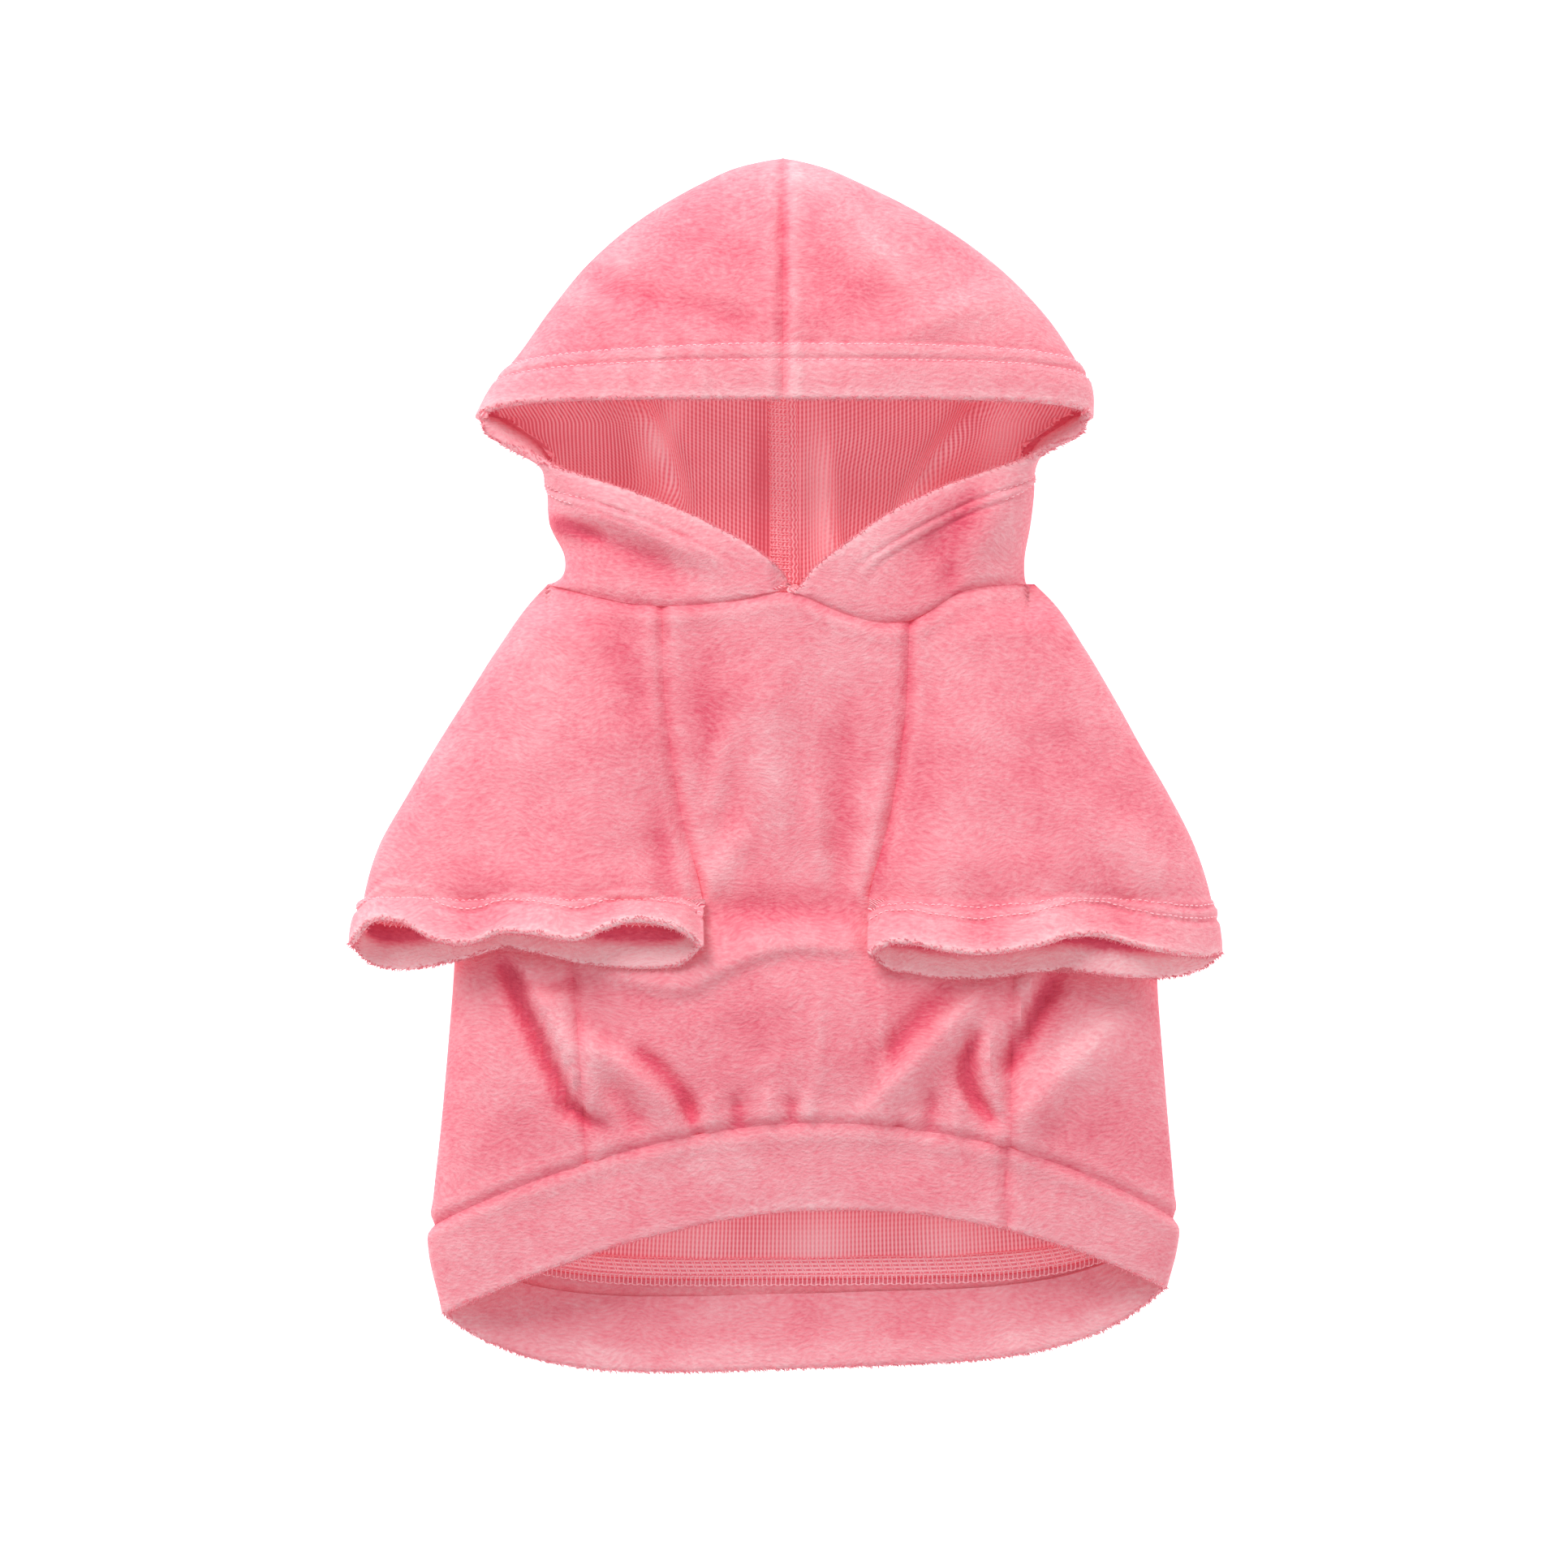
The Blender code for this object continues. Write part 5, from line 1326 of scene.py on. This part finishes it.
def makeBand():
    band = {
        "name": "waistband_velour",
        "frontFaces": 170,
        "backFaces": 110,
        "rowFaces": 20,
        "joinX": 70.5 * mm,
        "joinSlant": 0.04,
        "paler": 0.05,
        "puff": 0.25 * mm,
        "rumple": 0.6,
        "leafWall": 1.1 * mm,
    }
    front = roundedSpread(-1.0, 1.0, band["frontFaces"])
    back = roundedSpread(1.0, -1.0, band["backFaces"])[1:]
    rows = np.linspace(2, 3, band["rowFaces"] + 1)
    points = np.array([np.concatenate([torso(r, front, True), torso(r, back, False)]) for r in rows])
    inside = (garment["bodyShift"], neckY - garment["hemFront"], garment["bodyRise"] / 3)
    normals = normalsOf(points, inside, True)
    down = lengthsAlong(points, 0)
    onFront = np.arange(points.shape[1]) <= band["frontFaces"]
    relief = seamGroove(down, points)
    relief = relief + band["puff"] * np.sin(math.pi * np.clip(down / down[-1], 0, 1))
    join = np.abs(points[..., 0] - band["joinX"] + band["joinSlant"] * (points[..., 1] + 0.12))
    relief = relief + np.where(onFront, seamGroove(join, points), 0)
    # painted highlight on the hem's roll and painted shade in the seams, with the brushed patches
    lean = np.where(onFront, shadeAndBrushingOf("band", points, down[-1] - down), 0) + paintedLight["seam"] * relief / mm
    lean = lean + band["paler"]
    inBand = smoothStep(0, 6 * mm, down)
    relief = relief + rumple(points[..., 0], points[..., 1], 23) * band["rumple"] * inBand
    points = points + normals * relief[..., None]
    points[:, -1] = points[:, 0]
    normals = normalsOf(points, inside, True)
    # lines from the hem's lip up to the seam
    lines = points[::-1].transpose(1, 0, 2)
    facing = normals[::-1].transpose(1, 0, 2)
    width = lengthsAlong(lines, 1)[:, -1].min() - 1 * mm
    hem = turnedHem([(lines, facing)], width, cloth["hemThick"], True)
    outer = drawBack(lines, cloth["hemThick"] / 2)
    # painted highlight on the roll of the turned hem
    leaf = addGrid("band_leaf", hem, None, None, leafShade(hem, 0.0) + band["paler"])
    makeFringe("waistband_lip_pile", fringeAlong(hem, 61))
    panel = sewTogether([addGrid(band["name"], outer, None, None, lean[::-1].T), leaf])
    finishCloth(panel, inside, band["leafWall"], velour, velour)
    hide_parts("waistband")


def bodyFoldAcross(row, side):
    above = np.clip(row, 0, 1)
    inner = torso(above, raglanShare(above, side), True)[..., 0]
    fold = torso(above, float(side), False)[..., 0]
    return (fold - inner) / (sleeveOutX(row, side) - inner)


def makeSleeve(side, name):
    sleeve = {
        "needleRows": (11.6 * mm, 16.0 * mm),
        "hemWidth": 13 * mm,
        "hemThick": 2.6 * mm,
        "stitch": 2.1 * mm,
        "topFaces": 76,
        "outerFaces": 22,
        "underFaces": 44,
        "upperFaces": 70,
        "hemFaces": 28,
        "underarmSeam": 88 * mm,  # its distance from the middle, on the lower leaf
        # how deep the painted shade is on the inside of the hem
        "insideShade": 1.8,
        "coverstitch": 1.2 * mm,  # half width of the zigzag on the inside
    }
    topFaces, outerFaces, underFaces = sleeve["topFaces"], sleeve["outerFaces"], sleeve["underFaces"]
    rows = np.concatenate([upperRows(sleeve["upperFaces"]), 1 + np.linspace(0, 1, sleeve["hemFaces"] + 1)])
    even = np.linspace(0, 1, topFaces + 1)
    across = 0.5 * np.sin(even * math.pi / 2) + 0.5 * even
    lines = []
    for row in rows:
        top = sleeveTop(row, across, side)
        rounded = np.sin(np.linspace(math.pi / 2, 0, outerFaces + 1))
        if row < 1:
            beside = sleeveBack(row, rounded, side)
            over = np.repeat(beside[-1:], underFaces, axis=0)
        else:
            foldAt = bodyFoldAcross(row, side)
            beside = sleeveUnder(row, foldAt + (1 - foldAt) * rounded, side)
            inward = 1 - np.sin(np.linspace(0, math.pi / 2, underFaces + 1)[1:])
            over = sleeveUnder(row, foldAt * inward, side)
            over[-1] = top[0]
        lines.append(np.concatenate([top, beside[1:], over]))
    points = np.array(lines)
    outerEnd = topFaces + outerFaces
    isTube = rows >= 1
    kept = np.ones(points.shape[:2], bool)
    kept[~isTube, outerEnd:] = False
    inside = (side * 0.6 * sleeveReach, neckY - 0.7 * garment["underarmDrop"], garment["bodyRise"] / 3)
    normals = normalsOf(points, inside)
    tube = normalsOf(points[isTube], inside, True)
    normals[isTube] = tube
    down = lengthsAlong(points, 0)
    around = lengthsAlong(points, 1)
    toLip = down[-1] - down
    upper = ~isTube[:, None]
    onTop = (np.arange(points.shape[1]) <= topFaces)[None, :]
    grooves = (seamGroove(around, points) + seamGroove(down, points)) * upper * onTop
    relief = needleRows(toLip, points, sleeve["needleRows"])
    seamAt = side * sleeve["underarmSeam"]
    below = (np.arange(points.shape[1]) > topFaces)[None, :] * isTube[:, None]
    relief = relief + np.where(below, 0.8 * seamGroove(np.abs(points[..., 0] - seamAt), points), 0)
    # painted shade in creases, seams and needle rows, painted highlight on ridges and the lip
    lean = shadeAndBrushingOf("sleeve", points, toLip) * onTop + paintedLight["seam"] * (grooves + relief) / mm
    points = pressed(points + normals * relief[..., None], grooves)
    points[isTube, -1] = points[isTube, 0]
    normals[isTube] = normalsOf(points[isTube], inside, True)
    lipLines = points[::-1][: sleeve["hemFaces"] + 1].transpose(1, 0, 2)
    facing = normals[::-1][: sleeve["hemFaces"] + 1].transpose(1, 0, 2)
    hem = turnedHem([(lipLines, facing)], sleeve["hemWidth"], sleeve["hemThick"], True)
    points[isTube] = drawBack(lipLines, sleeve["hemThick"] / 2).transpose(1, 0, 2)[::-1]
    # painted highlight on the roll of the hem, painted shade further in
    leaf = addGrid("sleeve_leaf", hem, None, None, leafShade(hem, sleeve["insideShade"]))
    arcs = []
    for row in sleeve["needleRows"]:
        line, up = (alongLines(lipLines, values, [row])[:, 0] for values in (lipLines, facing))
        arcs += stitchesAlong(line, up, sleeve["stitch"])
    inner = 2 * (hem[:, -1] - alongLines(lipLines, lipLines, [sleeve["hemWidth"]])[:, 0])
    arcs += stitchesAlong(hem[:, -1], inner, sleeve["stitch"], sleeve["coverstitch"])
    makeThreads(name.replace("_velour", "_hem_stitches"), arcs)

    def underarm(lengths, roll):
        lower = np.arange(len(roll)) > topFaces
        return lengths[np.argmin(np.abs(roll[:, 3, 0] - seamAt) + ~lower)]

    makeFringe(name.replace("_velour", "_lip_pile"), fringeAlong(hem, 41 + side, underarm))
    panel = sewTogether([addGrid(name, points, kept, None, lean), leaf])
    finishCloth(panel, inside, cloth["wall"], velour, knitBack)
    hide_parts(name.replace("_velour", ""))


def makeHoodHalf(side, name):
    hood = {
        "needleRows": (13.0 * mm, 18.5 * mm),
        "hemWidth": 15 * mm,
        "stitch": 2.3 * mm,
        "backFaces": 66,
        "edgeFaces": 56,
        "topFaces": 62,
        "crownFaces": 46,
        "hemFaces": 36,
        "neckFaces": 54,
        "cornerTurns": 8,
        "seamRidge": 0.45 * mm,
        "stub": 0.982,  # share of the half width where the fine faces of the side fold end
        "hemFrom": 0.78,  # row of the crown where the faces of the hem begin
        "hemFades": (4 * mm, 26 * mm),  # above the throat
        "thinLines": 18,  # lines at the throat over which the hem thins out, and
        "thinnest": 0.6,  # the share that is left
        "bareLines": 24,  # the stitches end short of the throat
        "coverstitch": 1.3 * mm,
    }
    backFaces, edgeFaces, topFaces = hood["backFaces"], hood["edgeFaces"], hood["topFaces"]
    stub, hemFrom = hood["stub"], hood["hemFrom"]
    even = np.linspace(0, 1, backFaces + 1)
    backShares = 0.5 * (np.sin(even * math.pi / 2) + even)
    edge = np.linspace(0, 1, edgeFaces + 1)
    lines = []
    crownSteps = hemFrom * np.linspace(0, 1, hood["crownFaces"] + 1) ** 0.9
    for row in np.concatenate([crownSteps, np.linspace(hemFrom, 1, hood["hemFaces"] + 1)[1:]]):
        if row == 0:
            tip = crown(0.0, [0.0], side, False)
            lines.append(np.repeat(tip, backFaces + edgeFaces + topFaces + 1, axis=0))
            continue
        under = crown(row, backShares, side, False)
        near = crown(row, 1 - (1 - stub) * edge**2, side, True)
        over = crown(row, stub * (1 - np.linspace(0, 1, topFaces + 1) ** 0.85), side, True)
        lines.append(np.concatenate([under, near[1:], over[1:]]))
    lipRow = len(lines) - 1
    neckSteps = np.linspace(0, 1, hood["neckFaces"] + 1)[1:]
    for row in neckSteps:
        under = neckBack(row, backShares, side)
        near = neckFlap(row, edge ** mix(2, 1.15, smoothStep(0, 0.4, row)), side)
        lines.append(np.concatenate([under, near[1:], np.repeat(near[-1:], topFaces, axis=0)]))
    points = np.array(lines)
    edgeEnd = backFaces + edgeFaces
    kept = np.ones(points.shape[:2], bool)
    kept[lipRow:, edgeEnd:] = False
    inside = (side * 0.4 * garment["hoodHalfWidth"], neckY + faceLipUp, garment["hoodRise"] / 3)
    normals = normalsOf(points, inside)
    # the crown's last row and the flap take their normals from their own side of the opening
    normals[: lipRow + 1, edgeEnd:] = normalsOf(points[: lipRow + 1], inside)[:, edgeEnd:]
    normals[:, : edgeEnd + 1] = normalsOf(points[:, : edgeEnd + 1], inside)
    down = lengthsAlong(points, 0)
    across = lengthsAlong(points, 1)
    inCrown = (np.arange(len(points)) <= lipRow)[:, None]
    onFront = (np.arange(points.shape[1]) >= backFaces)[None, :]
    toCentre = np.where(onFront & inCrown, across[:, -1:] - across, 1.0)
    grooves = seamGroove(toCentre, points)
    if side > 0:
        grooves = grooves + hood["seamRidge"] * bell(toCentre - 3.4 * mm, 2.0 * mm)
    lipDown = down[lipRow]
    toTopLip = np.where(inCrown & onFront, lipDown - down, 1.0)
    toFlapLip = np.where(~inCrown, across[:, edgeEnd, None] - across, 1.0)
    toLip = np.minimum(toTopLip, toFlapLip)
    hemmed = np.where(inCrown, 1, smoothStep(*hood["hemFades"], down[-1] - down))
    relief = needleRows(toLip, points, hood["needleRows"]) * hemmed
    onFlap = (np.arange(points.shape[1]) >= backFaces + 4)[None, :] & ~inCrown
    grooves = grooves + np.where(onFlap, seamGroove(down[-1] - down, points), 0)
    # painted light and shade of the crown, the flap and the hood's inside, with painted shade in seams and
    # needle rows
    lean = np.where(onFront, shadeAndBrushingOf("hood", points, toLip), shadeAndBrushingOf("hoodBack", points))
    lean = lean + paintedLight["seam"] * (grooves + relief) / mm
    points = pressed(points + normals * relief[..., None], grooves)
    normals[: lipRow + 1] = normalsOf(points[: lipRow + 1], inside)
    normals[lipRow + 1 :, : edgeEnd + 1] = normalsOf(points[:, : edgeEnd + 1], inside)[lipRow + 1 :]
    # the hem runs from the centre seam along the crown's lip, round the corner and down the flap's lip
    front = slice(edgeEnd, None)
    hemRows = hood["hemFaces"] + 4
    crownLines = points[lipRow::-1, front][:hemRows].transpose(1, 0, 2)
    crownFacing = normals[lipRow::-1, front][:hemRows].transpose(1, 0, 2)
    flapLines = points[lipRow:, edgeEnd::-1]
    flapFacing = normals[lipRow:, edgeEnd::-1]
    upward = down[lipRow, edgeEnd] - down[lipRow::-1, edgeEnd]
    aside = across[lipRow, edgeEnd] - across[lipRow, edgeEnd::-1]
    corner = [[], []]
    for turn in np.linspace(0, math.pi / 2, hood["cornerTurns"] + 2)[1:-1]:
        steps = np.arange(0, hood["hemWidth"] + 8 * mm, 0.6 * mm)
        row = lipRow - np.interp(steps * math.cos(turn), upward, np.arange(len(upward)))
        column = edgeEnd - np.interp(steps * math.sin(turn), aside, np.arange(len(aside)))
        for values, kind in zip((points, normals), corner):
            kind.append(betweenCells(values, row, column))
    thick = cloth["hemThick"] * np.ones(len(crownLines) + hood["cornerTurns"] + len(flapLines))
    thick[-hood["thinLines"] :] *= np.linspace(1, hood["thinnest"], hood["thinLines"])
    groups = [
        (crownLines[::-1], crownFacing[::-1]),
        (np.array(corner[0]), np.array(corner[1])),
        (flapLines, flapFacing),
    ]
    leaf = turnedHem(groups, hood["hemWidth"], thick)
    # painted highlight on the roll of the hem, painted shade further in
    leafPanel = addGrid("hood_leaf", leaf, None, None, leafShade(leaf))
    arcs = []
    sewn = slice(None, -hood["bareLines"])
    for row in hood["needleRows"]:
        line, up = (acrossGroups(groups, [row], facing)[sewn, 0] for facing in (False, True))
        arcs += stitchesAlong(line, up, hood["stitch"])
    inward = leaf[:, -1] - acrossGroups(groups, [hood["hemWidth"]])[:, 0]
    arcs += stitchesAlong(leaf[sewn, -1], inward[sewn], hood["stitch"], hood["coverstitch"])
    makeFringe(name.replace("_velour", "_lip_pile"), fringeAlong(leaf, 51 + side))
    makeThreads(name.replace("_velour", "_hem_stitches"), arcs)
    drawn = drawBack(crownLines, cloth["hemThick"] / 2)
    points[lipRow - hemRows + 1 : lipRow + 1, front] = drawn.transpose(1, 0, 2)[::-1]
    points[lipRow:, edgeEnd::-1] = drawBack(flapLines, cloth["hemThick"] / 2)
    panel = sewTogether([addGrid(name, points, kept, None, lean), leafPanel])
    finishCloth(panel, inside, cloth["wall"], velour, knitBack)
    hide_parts(name.replace("_velour", ""))


def makeStrip(name, node, points, inside):
    # a seam allowance: both layers pressed to one side and overlocked
    # painted light on the raised raw edges
    panel = addGrid(name, points, None, None, np.full(points.shape[:2], paintedLight["allowance"]))
    finishCloth(panel, inside, 1.0 * mm, knitBack, knitBack)
    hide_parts(node)


def makeHoodOverlock():
    strip = {
        "name": "hood_centre_overlock",
        "wide": 9.0 * mm,
        "high": 1.7 * mm,
        "base": 1.2 * mm,  # top of the hood's knit side
        "under": 3.0 * mm,  # how far it runs on below the throat
        "drift": 2.2 * mm,  # how far it strays to the right on its way down
        "rung": 2.39 * mm,
        "chains": (2.6 * mm, 5.6 * mm),  # from the raw edge
        # millimetres from the raw edge: out, along the seam and up
        "threads": ((-0.6, 0.54, -1.2), (-0.4, 0.12, -0.2), (1.2, 0, 0.15), (3.4, -0.24, 0.2), (6, -0.3, 0.1)),
        "step": 0.6 * mm,
    }
    low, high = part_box("hood_seam_allowance")
    ys = np.arange(low.y - strip["under"], high.y, strip["step"])[:, None]
    share = np.linspace(-1, 1, 17)[None, :]
    raw = smoothStep(-0.4, -1, share)
    bumps = np.abs(np.sin(math.pi * ys / strip["rung"]))
    lean = strip["drift"] * (high.y - ys) / (high.y - low.y)
    middle = (low.x + high.x) / 2 + lean - strip["drift"] / 2
    x = middle + strip["wide"] / 2 * share - 0.5 * mm * bumps * raw
    z = strip["base"] + strip["high"] * crowned(share, 5) * (1 + 0.12 * bumps * raw)
    z = z + 0.25 * mm * softNoise(x, ys, 4 * mm, 31) * crowned(share, 5)
    points = np.stack([x, ys + 0 * share, z], -1)
    makeStrip(strip["name"], "hood_seam_allowance", points, (0, neckY, -1))
    top = strip["base"] + strip["high"]
    rawX = middle[:, 0] - strip["wide"] / 2
    arcs = []
    for y in np.arange(low.y + 1 * mm, high.y - 1 * mm, strip["rung"]):
        left = np.interp(y, ys[:, 0], rawX)
        for over in (0.0, 0.9 * mm):
            arcs.append(np.array([left, y + over, top]) + np.array(strip["threads"]) * mm)
    for chain in strip["chains"]:
        line = np.stack([rawX + chain, ys[:, 0], np.full(len(ys), top + 0.1 * mm)], -1)
        up = np.tile([0.0, 0.0, 1.0], (len(line), 1))
        arcs += stitchesAlong(line, up, strip["rung"] / 2, 0.35 * mm, 0.35 * mm)
    makeThreads("hood_centre_overlock_threads", arcs)


def makeWaistOverlock():
    strip = {
        "name": "waist_overlock",
        "from": -86 * mm,
        "to": 112 * mm,
        "above": 6.8 * mm,  # how far the raw edge lies above the seam
        "high": 1.5 * mm,
        "base": 1.2 * mm,
        "pair": 2.9 * mm,  # from one pair of overlock threads to the next
        "chains": (0.9 * mm, -2.0 * mm),  # from the seam
        "loop": 1.45 * mm,
        # millimetres from the seam: along it, towards the raw edge and up
        "threads": ((-0.2, 6.9, -1.3), (0, 6.7, -0.1), (0.6, 5, 0.15), (1.4, 3.2, 0.15), (2.2, 1.4, 0.1)),
        "bites": ((0, 0.9, 0.25), (0.1, -0.6, 0.25), (0.0, -1.9, 0.25)),
        "step": 0.9 * mm,
    }
    xs = np.arange(strip["from"], strip["to"], strip["step"])
    middle, half = torsoWidth(2.0)
    seam = torso(2.0, (xs - middle) / half, False)
    share = np.linspace(-1, 1, 13)[None, :]
    raw = smoothStep(0.4, 1, share)
    bumps = np.abs(np.sin(math.pi * xs / strip["pair"] * 2))[:, None]
    waver = 0.35 * mm * softNoise(xs, 0 * xs, 9 * mm, 33)[:, None]
    y = seam[:, 1, None] + strip["above"] * (share + 1) / 2 + (0.3 * mm * bumps + waver) * raw
    z = seam[:, 2, None] + strip["base"] + strip["high"] * crowned(share, 5) * (1 + 0.15 * bumps * raw)
    points = np.stack([xs[:, None] + 0 * share, y, z], -1)
    makeStrip(strip["name"], "band_seam_allowance", points, (0, neckY - 0.2, -1))
    top = strip["base"] + strip["high"]
    arcs = []
    for x in np.arange(strip["from"] + 3 * mm, strip["to"] - 3 * mm, strip["pair"]):
        place = np.array([x, np.interp(x, xs, seam[:, 1]), np.interp(x, xs, seam[:, 2]) + top])
        for beside in (0.0, 0.8 * mm):
            arcs.append(place + np.array([beside, 0, 0]) + np.array(strip["threads"]) * mm)
        for beside in (0.0, strip["pair"] / 2):
            arcs.append(place + np.array([beside, 0, 0]) + np.array(strip["bites"]) * mm)
    for chain in strip["chains"]:
        line = seam + np.array([0, chain, top + 0.15 * mm])
        up = np.tile([0.0, 0.0, 1.0], (len(line), 1))
        arcs += stitchesAlong(line, up, strip["loop"], 0.2 * mm, 0.3 * mm)
    makeThreads("waist_overlock_threads", arcs)


makeBack()
makeBelly()
makeBand()
makeSleeve(-1, "sleeve_left_velour")
makeSleeve(1, "sleeve_right_velour")
makeHoodHalf(-1, "hood_left_velour")
makeHoodHalf(1, "hood_right_velour")
print("panels laid")

makeHoodOverlock()
makeWaistOverlock()
print("seam allowances overlocked")


# Studio

studio = {
    "lens": 300.0,  # mm on the sensor's 36 mm, so the picture has next to no perspective
    "sensor": 36.0,
    "across": 508.5 * mm,  # width of the picture at the floor
    "aim": (-0.5 * mm, -6.7 * mm),
    "floor": 12.0,
    "floorDrop": -0.3 * mm,
    "paper": "#F7F7F7",
    "paperGlow": 0.8,
    "sky": (1.0, 0.985, 0.975, 1.0),
    "skyLight": 0.52,
    "lamps": {
        "key": {"place": (-1.2, 2.5, 2.1), "size": 1.6, "power": 80.0},
        "fill": {"place": (0.9, -0.5, 1.6), "size": 1.2, "power": 5.0},
    },
}


def makeFloor():
    bpy.ops.object.select_all(action="DESELECT")
    bpy.ops.mesh.primitive_plane_add(size=studio["floor"], location=(0, 0, studio["floorDrop"]))
    floor = bpy.context.object
    floor.name = "studio_floor"
    # matt white backdrop paper
    material, tree, shader = newMaterial("white_paper")
    shader.inputs["Base Color"].default_value = pink(studio["paper"])
    shader.inputs["Roughness"].default_value = 0.9
    shader.inputs["Specular IOR Level"].default_value = 0.0
    shader.inputs["Emission Color"].default_value = pink("#FFFFFF")
    shader.inputs["Emission Strength"].default_value = studio["paperGlow"]
    floor.data.materials.append(material)


def makeLights():
    world = bpy.data.worlds.new("studio_light")
    bpy.context.scene.world = world
    world.use_nodes = True
    backdrop = world.node_tree.nodes["Background"]
    backdrop.inputs["Color"].default_value = studio["sky"]
    backdrop.inputs["Strength"].default_value = studio["skyLight"]
    for name, lamp in studio["lamps"].items():
        bpy.ops.object.light_add(type="AREA", location=lamp["place"])
        light = bpy.context.object
        light.name = name
        light.data.size = lamp["size"]
        light.data.energy = lamp["power"]
        light.rotation_euler = (-light.location).to_track_quat("-Z", "Y").to_euler()


def makeCamera():
    height = studio["across"] * studio["lens"] / studio["sensor"]
    bpy.ops.object.camera_add(location=(*studio["aim"], height), rotation=(0, 0, 0))
    camera = bpy.context.object
    camera.data.lens = studio["lens"]
    camera.data.clip_end = 50
    bpy.context.scene.camera = camera
    bpy.context.scene.view_settings.view_transform = "Standard"


makeFloor()
makeLights()
makeCamera()
print("studio set")
